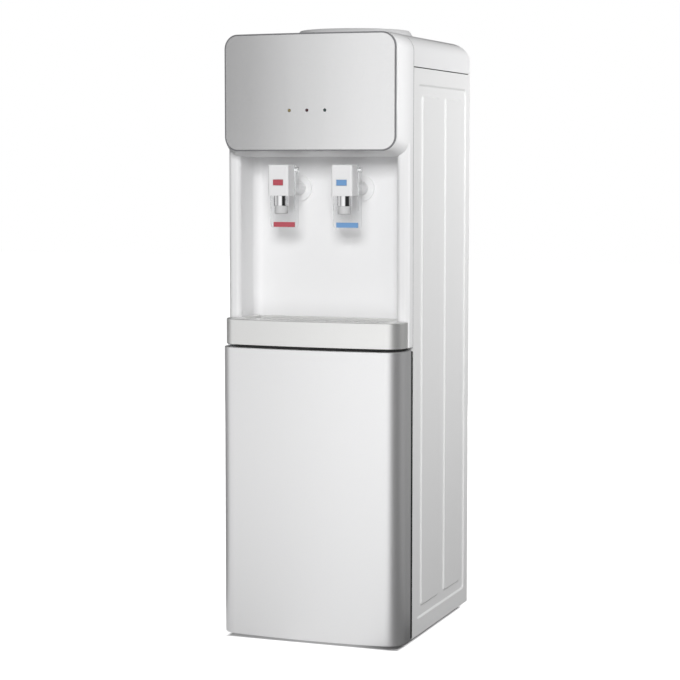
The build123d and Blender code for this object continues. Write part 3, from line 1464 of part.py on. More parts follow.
discharge_line = rod_along(discharge_route, [line_bend] * 2, discharge_radius)
capillary_line = rod_along(capillary_route, [capillary_bend] * 4, capillary_radius)
with BuildPart() as refrigerant_lines:
    add(suction_line)
    add(discharge_line)
    add(capillary_line)
refrigerant_lines.part.label = "refrigerant_lines"
export_step(refrigerant_lines.part, "parts/refrigerant_lines.step")

# Rear control plate with the two rocker switches and the mains inlet
control_thickness = 3
control_radius = 3
socket_width = 28
socket_height = 20.4
socket_depth = 16
socket_wall = 2
socket_drop = 34
mouth_width = 24
mouth_height = 16
mouth_depth = 13.5
mouth_corner = 4
contact_width = 2
contact_height = 4
contact_length = 9
contact_spread = 14
contact_rise = 3.5
rocker_width = 15
rocker_half = 10.4
rocker_swing_gap = 0.9
rocker_dip = 3
rocker_rise = 4.65
rocker_depth = 4
rocker_taper = 1
rocker_tilt = 9
rocker_sink = 2.4
rocker_pocket = 9
rocker_pin_radius = 1.5
rocker_pin_reach = 1.2
switch_pitch = 30
control_face_y = back_panel_y + sheet + control_thickness
inlet_z = control_z - socket_drop
rocker_y = control_face_y - rocker_sink
switches = [("hot", control_z + switch_pitch), ("cold", control_z)]
control_block = socket_depth + socket_wall - control_thickness
with BuildPart() as control_plate:
    with BuildSketch(Plane.XZ.offset(-back_panel_y - sheet)):
        with Locations((control_x, control_z)):
            RectangleRounded(control_width, control_height, control_radius)
    extrude(amount=-control_thickness)
    with BuildSketch(Plane.XZ.offset(-back_panel_y - sheet)):
        with Locations((control_x, control_z)):
            Rectangle(control_width - 2 * (service_margin + fit),
                      control_height - 2 * (service_margin + fit))
    extrude(amount=control_block)
    with BuildSketch(Plane.XZ.offset(-control_face_y)):
        with Locations((control_x, inlet_z)):
            Rectangle(socket_width + 2 * fit, socket_height + 2 * fit)
    extrude(amount=socket_depth + fit, mode=Mode.SUBTRACT)
    for switch_name, switch_z in switches:
        with BuildSketch(Plane.XZ.offset(-control_face_y)):
            with Locations((control_x, switch_z)):
                Rectangle(rocker_width + 2 * fit, 2 * (rocker_half + rocker_swing_gap))
        extrude(amount=rocker_pocket, mode=Mode.SUBTRACT)
        with BuildSketch(Plane.YZ.offset(control_x - rocker_width / 2 - rocker_pin_reach - fit)):
            with Locations((rocker_y, switch_z)):
                Circle(rocker_pin_radius + pin_fit)
        extrude(amount=rocker_width + 2 * (rocker_pin_reach + fit), mode=Mode.SUBTRACT)
control_plate.part.label = "control_plate"
export_step(control_plate.part, "parts/control_plate.step")

for switch_name, switch_z in switches:
    with BuildPart() as rocker:
        # Each rocker is kept tipped to its off side
        with BuildSketch(Plane.YZ.offset(control_x - rocker_width / 2)):
            with Locations((rocker_y, switch_z)):
                Polygon((rocker_rise, -rocker_half), (rocker_dip, 0), (rocker_rise, rocker_half),
                        (-rocker_depth, rocker_half - rocker_taper),
                        (-rocker_depth, rocker_taper - rocker_half),
                        rotation=-rocker_tilt, align=None)
        extrude(amount=rocker_width)
        with BuildSketch(Plane.YZ.offset(control_x - rocker_width / 2 - rocker_pin_reach)):
            with Locations((rocker_y, switch_z)):
                Circle(rocker_pin_radius)
        extrude(amount=rocker_width + 2 * rocker_pin_reach)
    rocker.part.label = f"{switch_name}_switch"
    export_step(rocker.part, f"parts/{switch_name}_switch.step")

with BuildPart() as power_inlet:
    with BuildSketch(Plane.XZ.offset(-control_face_y)):
        with Locations((control_x, inlet_z)):
            Rectangle(socket_width, socket_height)
    extrude(amount=socket_depth)
    with BuildSketch(Plane.XZ.offset(-control_face_y)) as mouth:
        with Locations((control_x, inlet_z)):
            Rectangle(mouth_width, mouth_height)
        chamfer(mouth.vertices().group_by(Axis.Y)[-1], mouth_corner)
    extrude(amount=mouth_depth, mode=Mode.SUBTRACT)
    with BuildSketch(Plane.XZ.offset(-control_face_y + mouth_depth)):
        with Locations((control_x - contact_spread / 2, inlet_z - contact_rise / 2),
                       (control_x, inlet_z + contact_rise),
                       (control_x + contact_spread / 2, inlet_z - contact_rise / 2)):
            Rectangle(contact_width, contact_height)
    extrude(amount=-contact_length)
power_inlet.part.label = "power_inlet"
export_step(power_inlet.part, "parts/power_inlet.step")

# Screw cap on the hot tank's drain pipe
cap_radius = 9
cap_length = 12
cap_bevel = 1.2
cap_grip_radius = 1.2
cap_grips = 12
cap_start_y = back_panel_y + sheet + fit
with BuildPart() as drain_cap:
    with BuildSketch(Plane.XZ.offset(-cap_start_y)):
        with Locations((drain_x, drain_z)):
            Circle(cap_radius)
    extrude(amount=-cap_length)
    chamfer(drain_cap.edges().group_by(Axis.Y)[-1], cap_bevel)
    with BuildSketch(Plane.XZ.offset(-cap_start_y)):
        with Locations((drain_x, drain_z)):
            with PolarLocations(cap_radius + cap_grip_radius / 2, cap_grips):
                Circle(cap_grip_radius)
    extrude(amount=-cap_length, mode=Mode.SUBTRACT)
    with BuildSketch(Plane.XZ.offset(-cap_start_y)):
        with Locations((drain_x, drain_z)):
            Circle(drain_pipe_radius + pin_fit)
    extrude(amount=-drain_length, mode=Mode.SUBTRACT)
drain_cap.part.label = "drain_cap"
export_step(drain_cap.part, "parts/drain_cap.step")
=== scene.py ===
"""Dressed model of a floor-standing bottle-top water dispenser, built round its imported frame."""

import json
import logging
import math
from dataclasses import dataclass
from enum import Enum

import bmesh
import bpy
from mathutils import Matrix, Vector

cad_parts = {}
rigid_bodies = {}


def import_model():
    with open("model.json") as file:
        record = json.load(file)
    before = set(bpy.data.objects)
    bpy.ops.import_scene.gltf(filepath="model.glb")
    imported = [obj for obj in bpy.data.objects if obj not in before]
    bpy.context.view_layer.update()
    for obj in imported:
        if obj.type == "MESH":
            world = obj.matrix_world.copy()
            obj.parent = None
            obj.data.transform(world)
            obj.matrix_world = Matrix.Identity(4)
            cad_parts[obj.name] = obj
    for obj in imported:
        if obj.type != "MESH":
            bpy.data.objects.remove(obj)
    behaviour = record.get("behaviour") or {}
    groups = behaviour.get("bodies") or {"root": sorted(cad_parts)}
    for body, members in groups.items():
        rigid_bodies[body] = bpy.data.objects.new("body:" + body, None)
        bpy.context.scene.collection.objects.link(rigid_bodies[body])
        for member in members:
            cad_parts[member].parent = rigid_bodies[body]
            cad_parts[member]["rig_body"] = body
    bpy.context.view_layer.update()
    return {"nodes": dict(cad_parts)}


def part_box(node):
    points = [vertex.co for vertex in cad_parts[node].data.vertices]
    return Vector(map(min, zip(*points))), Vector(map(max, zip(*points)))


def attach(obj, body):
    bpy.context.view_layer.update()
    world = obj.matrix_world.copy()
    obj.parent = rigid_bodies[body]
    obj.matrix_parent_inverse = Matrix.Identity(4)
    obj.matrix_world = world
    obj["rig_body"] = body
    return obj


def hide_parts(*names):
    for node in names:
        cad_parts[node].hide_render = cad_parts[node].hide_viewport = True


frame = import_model()
log = logging.getLogger("dispenser")

Colour = tuple[float, float, float]
Point = tuple[float, float, float]
Span = tuple[float, float]
Socket = bpy.types.NodeSocket

WHITE = (1.0, 1.0, 1.0, 1.0)
EVEN = (1.0, 1.0, 1.0)
ORIGIN = (0.0, 0.0, 0.0)
QUARTER = math.pi / 2.0
FULL = 2.0 * math.pi
CAD_MERGE = 2e-6
OWN_MERGE = 1e-7
FLAT = math.radians(0.15)
SMOOTH = 35.0
SHARP = math.radians(60.0)
EDGE_STEPS = 2
AREA_WEIGHT = 50


class Axis(Enum):
    """Unit vectors along the frame's axes."""

    X = Vector((1.0, 0.0, 0.0))
    Y = Vector((0.0, 1.0, 0.0))
    Z = Vector((0.0, 0.0, 1.0))


class Graph:
    """The node tree of a material or of the world."""

    fineness = 0.55
    samples = 4

    def __init__(self, owner: bpy.types.Material | bpy.types.World) -> None:
        """Empty the node tree of a material or a world.

        Args:
            owner: The material or world.
        """
        owner.use_nodes = True
        self.owner = owner
        self.tree = owner.node_tree
        self.tree.nodes.clear()

    @classmethod
    def named(cls, name: str) -> "Graph":
        """The graph of a new material of that name."""
        return cls(bpy.data.materials.new(name))

    def node(self, kind: str, **values: object) -> bpy.types.Node:
        """Add one node and set its settings and inputs.

        Args:
            kind: The node's type.
            **values: Settings by attribute name, or inputs by name with spaces as underscores.

        Returns:
            The new node.
        """
        made = self.tree.nodes.new(kind)
        for key, value in values.items():
            label = key.replace("_", " ")
            if label in made.inputs:
                self.feed(made.inputs[label], value)
            else:
                setattr(made, key, value)
        return made

    def feed(self, target: Socket, value: object) -> None:
        """Link a socket to an input, or set the input where the value is plain.

        Args:
            target: The input.
            value: A socket, a number or a colour.
        """
        if isinstance(value, Socket):
            self.tree.links.new(value, target)
        else:
            target.default_value = value

    def maths(self, operation: str, first: Socket, second: object = None) -> Socket:
        """Work out a value with a Math node.

        Args:
            operation: The node's operation.
            first: Its first value.
            second: Its second value, a socket or a number, where it has one.

        Returns:
            The result.
        """
        made = self.node("ShaderNodeMath", operation=operation)
        self.feed(made.inputs[0], first)
        if second is not None:
            self.feed(made.inputs[1], second)
        return made.outputs[0]

    def blend(self, share: Socket, first: object, second: object) -> Socket:
        """Mix two levels.

        Args:
            share: Share of the second level.
            first: The first level, a socket or a number.
            second: The second level, a socket or a number.

        Returns:
            The mixed level.
        """
        made = self.node("ShaderNodeMix", data_type="FLOAT")
        for place, value in ((0, share), (2, first), (3, second)):
            self.feed(made.inputs[place], value)
        return made.outputs[0]

    def blend_colours(self, share: Socket, first: object, second: object) -> Socket:
        """Mix two colours.

        Args:
            share: Share of the second colour.
            first: The first colour, a socket or four numbers.
            second: The second colour, a socket or four numbers.

        Returns:
            The mixed colour.
        """
        made = self.node("ShaderNodeMix", data_type="RGBA")
        for place, value in ((0, share), (6, first), (7, second)):
            self.feed(made.inputs[place], value)
        return made.outputs[2]

    def position(self, stretch: Point = EVEN) -> Socket:
        """Object coordinates in metres, stretched along each axis.

        Args:
            stretch: Scale of the pattern along X, Y and Z.

        Returns:
            The vector socket for a pattern.
        """
        place = self.node("ShaderNodeTexCoord").outputs["Object"]
        if stretch == EVEN:
            return place
        return self.node("ShaderNodeMapping", Vector=place, Scale=stretch).outputs["Vector"]

    def noise(self, scale: float, detail: float, stretch: Point = EVEN) -> Socket:
        """Noise factor on object coordinates.

        Args:
            scale: Cells per metre.
            detail: Octaves of finer noise.
            stretch: Scale of the pattern along X, Y and Z.

        Returns:
            The factor socket.
        """
        made = self.node("ShaderNodeTexNoise", Vector=self.position(stretch), Scale=scale,
                         Detail=detail, Roughness=self.fineness)
        return made.outputs["Fac"]

    def spread(self, factor: Socket, low: float, high: float,
               start: float = 0.3, end: float = 0.7) -> Socket:
        """Map a value onto a range, by default the middle stretch of a noise.

        Args:
            factor: The value.
            low: Result at the start.
            high: Result at the end.
            start: Value that gives low.
            end: Value that gives high.

        Returns:
            The mapped value.
        """
        made = self.node("ShaderNodeMapRange", Value=factor, From_Min=start, From_Max=end,
                         To_Min=low, To_Max=high)
        return made.outputs["Result"]

    def tint(self, factor: Socket, dark: Colour, light: Colour) -> Socket:
        """Blend two colours by a factor.

        Args:
            factor: 0 gives dark, 1 gives light.
            dark: First colour.
            light: Second colour.

        Returns:
            The colour socket.
        """
        return self.blend_colours(factor, (*dark, 1.0), (*light, 1.0))

    def varied(self, factor: Socket, colour: Colour, shares: Span) -> Socket:
        """Vary a colour between two shades of itself.

        Args:
            factor: 0 gives the first shade, 1 gives the second.
            colour: The colour.
            shares: What the colour is multiplied by for each shade.

        Returns:
            The colour socket.
        """
        return self.tint(factor, shade(colour, shares[0]), shade(colour, shares[1]))

    def relief(self, height: Socket, depth: float, edge: float = 0.0) -> Socket:
        """Bumped normal, over rounded edges where an edge radius is given.

        Args:
            height: The pattern that is raised.
            depth: Its height in metres.
            edge: Radius in metres by which sharp edges look rounded.

        Returns:
            The normal socket.
        """
        bump = self.node("ShaderNodeBump", Strength=1.0, Distance=depth, Height=height)
        if edge > 0:
            rounding = self.node("ShaderNodeBevel", samples=self.samples, Radius=edge)
            self.feed(bump.inputs["Normal"], rounding.outputs["Normal"])
        return bump.outputs["Normal"]

    def close(self, shader: bpy.types.Node, output: str = "ShaderNodeOutputMaterial"
              ) -> bpy.types.Material | bpy.types.World:
        """Link the last shader to a new output.

        Args:
            shader: The last shader node.
            output: Type of the output node.

        Returns:
            The finished material or world.
        """
        self.node(output, Surface=shader.outputs[0])
        return self.owner

    def surface(self, **values: object) -> bpy.types.Material:
        """Finish a material with a principled shader.

        Args:
            **values: The shader's inputs by name, with spaces as underscores.

        Returns:
            The finished material.
        """
        return self.close(self.node("ShaderNodeBsdfPrincipled", **values))


def grey(tone: float) -> tuple[float, float, float, float]:
    """The opaque colour of a grey tone."""
    return (tone, tone, tone, 1.0)


def shade(colour: Colour, factor: float) -> Colour:
    """A colour made darker or lighter by a factor."""
    return (colour[0] * factor, colour[1] * factor, colour[2] * factor)


def scaled(shares: Span, whole: float) -> Span:
    """Both ends of a range of shares, times the whole."""
    return (shares[0] * whole, shares[1] * whole)


@dataclass(frozen=True)
class Moulded:
    """Injection-moulded plastic with a fine spark-eroded grain and faint flow marks."""

    name: str
    colour: Colour
    roughness: float = 0.32
    specular: float = 0.5
    coat: float = 0.0
    grain: float = 2600.0
    depth: float = 0.000006
    mottle: float = 0.004
    edge: float = 0.0006
    flow: float = 7.0
    flow_stretch: Point = (1.0, 1.0, 0.45)
    handling: float = 34.0
    gloss_range: Span = (0.96, 1.04)
    coat_roughness: float = 0.12

    def build(self) -> bpy.types.Material:
        """Make the material.

        Returns:
            The material.
        """
        graph = Graph.named(self.name)
        flow = graph.noise(self.flow, detail=4.0, stretch=self.flow_stretch)
        grain = graph.noise(self.grain, detail=2.0)
        colour = graph.varied(flow, self.colour, (1 - self.mottle, 1 + self.mottle))
        rough = graph.spread(graph.noise(self.handling, detail=5.0),
                             *scaled(self.gloss_range, self.roughness))
        return graph.surface(Base_Color=colour, Roughness=rough,
                             Specular_IOR_Level=self.specular, Coat_Weight=self.coat,
                             Coat_Roughness=self.coat_roughness,
                             Normal=graph.relief(grain, self.depth, self.edge))


@dataclass(frozen=True)
class Powder:
    """Powder-coated sheet steel with a soft orange peel."""

    name: str
    colour: Colour
    roughness: float = 0.36
    peel: float = 420.0
    depth: float = 0.00003
    edge: float = 0.0012
    drift: float = 3.0
    tone_range: Span = (0.985, 1.012)
    wear: float = 60.0
    gloss_range: Span = (0.9, 1.12)
    specular: float = 0.5

    def build(self) -> bpy.types.Material:
        """Make the material.

        Returns:
            The material.
        """
        graph = Graph.named(self.name)
        drift = graph.noise(self.drift, detail=3.0)
        peel = graph.noise(self.peel, detail=1.5)
        colour = graph.varied(drift, self.colour, self.tone_range)
        rough = graph.spread(graph.noise(self.wear, detail=4.0),
                             *scaled(self.gloss_range, self.roughness))
        return graph.surface(Base_Color=colour, Roughness=rough,
                             Specular_IOR_Level=self.specular,
                             Normal=graph.relief(peel, self.depth, self.edge))


@dataclass(frozen=True)
class Pearl:
    """Silver pearl lacquer: fine flakes under a clear coat."""

    name: str
    colour: Colour
    metallic: float = 0.7
    roughness: float = 0.26
    flake: float = 1900.0
    sparkle: float = 0.05
    coat: float = 0.2
    flake_depth: float = 0.000004
    edge: float = 0.0006
    haze: float = 300.0
    gloss_range: Span = (0.9, 1.1)
    coat_roughness: float = 0.16

    def build(self) -> bpy.types.Material:
        """Make the material.

        Returns:
            The material.
        """
        graph = Graph.named(self.name)
        cells = graph.node("ShaderNodeTexVoronoi", Vector=graph.position(), Scale=self.flake)
        sparkle = graph.node("ShaderNodeSeparateColor", Color=cells.outputs["Color"])
        colour = graph.varied(sparkle.outputs["Red"], self.colour,
                              (1 - self.sparkle, 1 + self.sparkle))
        rough = graph.spread(graph.noise(self.haze, detail=3.0),
                             *scaled(self.gloss_range, self.roughness))
        bumps = graph.relief(sparkle.outputs["Green"], self.flake_depth, self.edge)
        return graph.surface(Base_Color=colour, Roughness=rough, Metallic=self.metallic,
                             Coat_Weight=self.coat, Coat_Roughness=self.coat_roughness,
                             Normal=bumps)


@dataclass(frozen=True)
class Drawn:
    """Bare or plated metal with fine lines from rolling or drawing."""

    name: str
    colour: Colour
    roughness: float = 0.3
    lines: Point = (40.0, 40.0, 2.0)
    scale: float = 60.0
    depth: float = 0.000008
    edge: float = 0.0005
    stain: float = 0.08
    stain_scale: float = 18.0
    gloss_range: Span = (0.75, 1.3)

    def build(self) -> bpy.types.Material:
        """Make the material.

        Returns:
            The material.
        """
        graph = Graph.named(self.name)
        lines = graph.noise(self.scale, detail=4.0, stretch=self.lines)
        stain = graph.noise(self.stain_scale, detail=4.0)
        colour = graph.varied(stain, self.colour, (1 - self.stain, 1.0))
        rough = graph.spread(lines, *scaled(self.gloss_range, self.roughness))
        return graph.surface(Base_Color=colour, Roughness=rough, Metallic=1.0,
                             Normal=graph.relief(lines, self.depth, self.edge))


@dataclass(frozen=True)
class Enamel:
    """Dipped black enamel or paint, a little uneven."""

    name: str
    colour: Colour
    roughness: float = 0.3
    ripple: float = 160.0
    depth: float = 0.00005
    edge: float = 0.0008
    dust: float = 45.0
    dust_tone: Colour = (0.02, 0.02, 0.018)
    dust_range: Span = (0.5, 0.8)
    gloss_range: Span = (0.8, 1.5)

    def build(self) -> bpy.types.Material:
        """Make the material.

        Returns:
            The material.
        """
        graph = Graph.named(self.name)
        ripple = graph.noise(self.ripple, detail=2.5)
        dust = graph.noise(self.dust, detail=6.0)
        dusty = tuple(tone + more for tone, more in zip(self.colour, self.dust_tone))
        colour = graph.tint(graph.spread(dust, 0.0, 1.0, *self.dust_range), self.colour, dusty)
        rough = graph.spread(dust, *scaled(self.gloss_range, self.roughness))
        return graph.surface(Base_Color=colour, Roughness=rough,
                             Normal=graph.relief(ripple, self.depth, self.edge))


@dataclass(frozen=True)
class Soft:
    """Rubber, foam and silicone: dull, with a pore or skin pattern."""

    name: str
    colour: Colour
    roughness: float = 0.75
    pores: float = 900.0
    depth: float = 0.00004
    edge: float = 0.0008
    contrast: float = 0.06
    cloud: float = 30.0
    gloss_range: Span = (0.9, 1.1)
    specular: float = 0.35

    def build(self) -> bpy.types.Material:
        """Make the material.

        Returns:
            The material.
        """
        graph = Graph.named(self.name)
        cells = graph.node("ShaderNodeTexVoronoi", Vector=graph.position(), Scale=self.pores)
        cloud = graph.noise(self.cloud, detail=4.0)
        colour = graph.varied(cloud, self.colour, (1 - self.contrast, 1 + self.contrast))
        low, high = scaled(self.gloss_range, self.roughness)
        rough = graph.spread(cloud, low, min(1.0, high))
        pores = graph.relief(cells.outputs["Distance"], self.depth, self.edge)
        return graph.surface(Base_Color=colour, Roughness=rough,
                             Specular_IOR_Level=self.specular, Normal=pores)


@dataclass(frozen=True)
class Clear:
    """Clear or tinted plastic that light goes through."""

    name: str
    colour: Colour
    roughness: float = 0.04
    index: float = 1.49
    body: float = 0.4
    flow: float = 90.0
    flow_stretch: Point = (1.0, 1.0, 0.4)
    depth: float = 0.00002
    dark_share: float = 0.985
    gloss_range: Span = (0.6, 1.5)

    def build(self) -> bpy.types.Material:
        """Make the material.

        Returns:
            The material.
        """
        graph = Graph.named(self.name)
        flow = graph.noise(self.flow, detail=2.0, stretch=self.flow_stretch)
        rough = graph.spread(flow, *scaled(self.gloss_range, self.roughness))
        colour = graph.varied(flow, self.colour, (self.dark_share, 1.0))
        return graph.surface(Base_Color=colour, Roughness=rough, IOR=self.index,
                             Transmission_Weight=1.0, Alpha=self.body,
                             Normal=graph.relief(flow, self.depth))


@dataclass(frozen=True)
class Lens:
    """Small tinted lamp lens with a faint ribbed core."""

    name: str
    colour: Colour
    core: float = 700.0
    depth: float = 0.00001
    tone_range: Span = (0.8, 1.15)
    gloss_range: Span = (0.16, 0.26)
    coat: float = 0.4

    def build(self) -> bpy.types.Material:
        """Make the material.

        Returns:
            The material.
        """
        graph = Graph.named(self.name)
        core = graph.noise(self.core, detail=2.0)
        colour = graph.varied(core, self.colour, self.tone_range)
        rough = graph.spread(core, *self.gloss_range)
        return graph.surface(Base_Color=colour, Roughness=rough, Coat_Weight=self.coat,
                             Normal=graph.relief(core, self.depth))


Finish = Moulded | Powder | Pearl | Drawn | Enamel | Soft | Clear | Lens


class Finishes:
    """Every finish on the object, made once each when first asked for."""

    shell = Moulded("white_shell", (0.83, 0.83, 0.835), 0.30)
    alcove = Moulded("alcove_white", (0.84, 0.84, 0.845), 0.36)
    door = Pearl("door_white", (0.95, 0.95, 0.955), 0.84, 0.42, sparkle=0.012, coat=0.05)
    band = Pearl("band_grey", (0.88, 0.88, 0.87), 0.78, 0.40, sparkle=0.012, coat=0.0)
    tray = Moulded("tray_grey", (0.77, 0.77, 0.76), 0.38, grain=1700.0, depth=0.00001)
    collar = Moulded("grey_collar", (0.66, 0.66, 0.665), 0.42, grain=1500.0, depth=0.000012)
    liner = Moulded("white_liner", (0.80, 0.80, 0.80), 0.45, mottle=0.02)
    bezel = Moulded("bezel_grey", (0.20, 0.20, 0.21), 0.3)
    tap = Moulded("tap_white", (0.82, 0.82, 0.825), 0.3)
    spout = Moulded("spout_grey", (0.60, 0.60, 0.605), 0.4)
    nut = Moulded("nut_white", (0.70, 0.70, 0.68), 0.5)
    red = Moulded("red_mark", (0.46, 0.075, 0.10), 0.35, mottle=0.03)
    blue = Moulded("blue_mark", (0.16, 0.33, 0.60), 0.35, mottle=0.03)
    black = Moulded("black_plastic", (0.022, 0.022, 0.023), 0.45, grain=1500.0, depth=0.00002)
    switch_red = Moulded("switch_red", (0.42, 0.02, 0.025), 0.28)
    switch_green = Moulded("switch_green", (0.02, 0.25, 0.08), 0.28)
    board = Moulded("circuit_board", (0.03, 0.16, 0.07), 0.4, mottle=0.1)
    steel = Powder("white_steel", (0.80, 0.80, 0.80))
    pearl = Pearl("silver_panel", (0.80, 0.80, 0.805), 0.85, 0.24)
    zinc = Drawn("zinc_steel", (0.58, 0.60, 0.62), 0.38, EVEN, 220.0, stain=0.14)
    screw = Drawn("screw_steel", (0.62, 0.63, 0.65), 0.28, EVEN, 300.0)
    tank = Drawn("tank_steel", (0.60, 0.60, 0.61), 0.27)
    chrome = Drawn("tap_chrome", (0.86, 0.86, 0.87), 0.05, EVEN, 120.0, 0.000001,
                   stain=0.02)
    copper = Drawn("copper_tube", (0.72, 0.36, 0.22), 0.3, EVEN, 120.0, stain=0.3)
    enamel = Enamel("black_steel", (0.018, 0.018, 0.019))
    rubber = Soft("black_rubber", (0.022, 0.022, 0.022), 0.7)
    silicone = Soft("silicone_hose", (0.62, 0.60, 0.56), 0.5, 400.0, 0.00002)
    foam = Soft("foam", (0.74, 0.72, 0.64), 0.9, 260.0, 0.0006, contrast=0.08)
    clear = Clear("clear_paddle", (0.93, 0.945, 0.95))
    amber = Lens("amber_lens", (0.24, 0.19, 0.08))
    dark_red = Lens("red_lens", (0.05, 0.012, 0.018))
    teal = Lens("green_lens", (0.03, 0.055, 0.05))

    _made: dict[str, bpy.types.Material] = {}

    @classmethod
    def get(cls, finish: Finish) -> bpy.types.Material:
        """The material of a finish, built on first use.

        Args:
            finish: One of this class's finishes.

        Returns:
            The material.
        """
        if finish.name not in cls._made:
            cls._made[finish.name] = finish.build()
        return cls._made[finish.name]


def body_of(node: str) -> str:
    """The name of the body that a CAD node belongs to."""
    return frame["nodes"][node]["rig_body"]


def dress(node: str, finish: Finish) -> None:
    """Give a CAD node its finish.

    Args:
        node: The node's name.
        finish: The finish.
    """
    data = frame["nodes"][node].data
    data.materials.clear()
    data.materials.append(Finishes.get(finish))
    log.info("%s dressed in %s", node, finish.name)


def publish(mesh: bmesh.types.BMesh, name: str, body: str, finish: Finish,
            smooth: float = SMOOTH) -> bpy.types.Object:
    """Turn a finished bmesh into a piece that rides on a body.

    Args:
        mesh: The bmesh, which is freed.
        name: The piece's name.
        body: The body that it rides on.
        finish: The finish.
        smooth: Angle in degrees above which an edge stays sharp.

    Returns:
        The new object.
    """
    mesh.normal_update()
    for face in mesh.faces:
        face.smooth = True
    for edge in mesh.edges:
        edge.smooth = edge.calc_face_angle(math.pi) <= math.radians(smooth)
    data = bpy.data.meshes.new(name)
    mesh.to_mesh(data)
    mesh.free()
    data.materials.append(Finishes.get(finish))
    piece = bpy.data.objects.new(name, data)
    bpy.context.scene.collection.objects.link(piece)
    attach(piece, body)
    log.info("%s made, %d faces", name, len(data.polygons))
    return piece


def refine(node: str, name: str, finish: Finish, smooth: float = SMOOTH,
           edge: float = 0.0) -> None:
    """Replace a CAD node by a merged and smoothly shaded copy of it.

    Args:
        node: The node's name.
        name: The new piece's name.
        finish: The finish.
        smooth: Angle in degrees above which an edge stays sharp.
        edge: Width in metres of a bevel on its sharp edges, or zero for none.
    """
    mesh = bmesh.new()
    mesh.from_mesh(frame["nodes"][node].data)
    bmesh.ops.remove_doubles(mesh, verts=mesh.verts, dist=CAD_MERGE)
    bmesh.ops.dissolve_limit(mesh, angle_limit=FLAT, use_dissolve_boundaries=False,
                             verts=mesh.verts, edges=mesh.edges)
    piece = publish(mesh, name, body_of(node), finish, smooth)
    if edge > 0:
        bevel = piece.modifiers.new("soft_edges", "BEVEL")
        bevel.width = edge
        bevel.segments = EDGE_STEPS
        bevel.limit_method = "ANGLE"
        bevel.angle_limit = math.radians(smooth)
        bevel.harden_normals = True
    even = piece.modifiers.new("even_normals", "WEIGHTED_NORMAL")
    even.weight = AREA_WEIGHT
    even.keep_sharp = True
    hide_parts(node)


class Sweep:
    """A run with four corners in section, swept along straight lines and arcs."""

    def __init__(self, width: float, depth: float, centre: Point, facing: Axis) -> None:
        """Start a run with one flat section.

        Args:
            width: Width of the section across the facing.
            depth: Its other width.
            centre: Its middle.
            facing: Direction that the section faces.
        """
        self.mesh = bmesh.new()
        made = bmesh.ops.create_grid(self.mesh, x_segments=1, y_segments=1, size=0.5)["verts"]
        bmesh.ops.scale(self.mesh, vec=(width, depth, 1.0), verts=made)
        if facing is not Axis.Z:
            bmesh.ops.rotate(self.mesh, cent=ORIGIN, verts=made, matrix=Matrix.Rotation(
                QUARTER, 3, "X" if facing is Axis.Y else "Y"))
        bmesh.ops.translate(self.mesh, vec=centre, verts=made)
        bmesh.ops.delete(self.mesh, geom=self.mesh.faces[:], context="FACES_ONLY")
        self.ring = self.mesh.edges[:]

    def straight(self, way: Point) -> None:
        """Carry the run on in a straight line.

        Args:
            way: The step from the last section to the next.
        """
        made = bmesh.ops.extrude_edge_only(self.mesh, edges=self.ring)["geom"]
        verts = [item for item in made if isinstance(item, bmesh.types.BMVert)]
        bmesh.ops.translate(self.mesh, vec=way, verts=verts)
        self.ring = [edge for edge in self.mesh.edges
                     if edge.verts[0] in verts and edge.verts[1] in verts]

    def bend(self, centre: Point, axis: Axis, angle: float, steps: int) -> None:
        """Carry the run on round an arc.

        Args:
            centre: The arc's centre.
            axis: The direction of its axis.
            angle: Its angle in radians.
            steps: Number of sections along it.
        """
        verts = list({vert for edge in self.ring for vert in edge.verts})
        last = bmesh.ops.spin(self.mesh, geom=[*verts, *self.ring], cent=centre,
                              axis=axis.value, angle=angle, steps=steps)["geom_last"]
        self.ring = [item for item in last if isinstance(item, bmesh.types.BMEdge)]

    def finish(self, edge: float) -> bmesh.types.BMesh:
        """Cap the ends and round the long edges.

        Args:
            edge: Width of the rounding in metres.

        Returns:
            The finished bmesh.
        """
        bmesh.ops.remove_doubles(self.mesh, verts=self.mesh.verts, dist=OWN_MERGE)
        bmesh.ops.holes_fill(self.mesh, edges=self.mesh.edges[:], sides=4)
        bmesh.ops.recalc_face_normals(self.mesh, faces=self.mesh.faces[:])
        sharp = [line for line in self.mesh.edges if line.calc_face_angle(0.0) > SHARP]
        bmesh.ops.bevel(self.mesh, geom=sharp, offset=edge, offset_type="OFFSET", affect="EDGES",
                        segments=EDGE_STEPS, profile=0.5, material=-1)
        return self.mesh


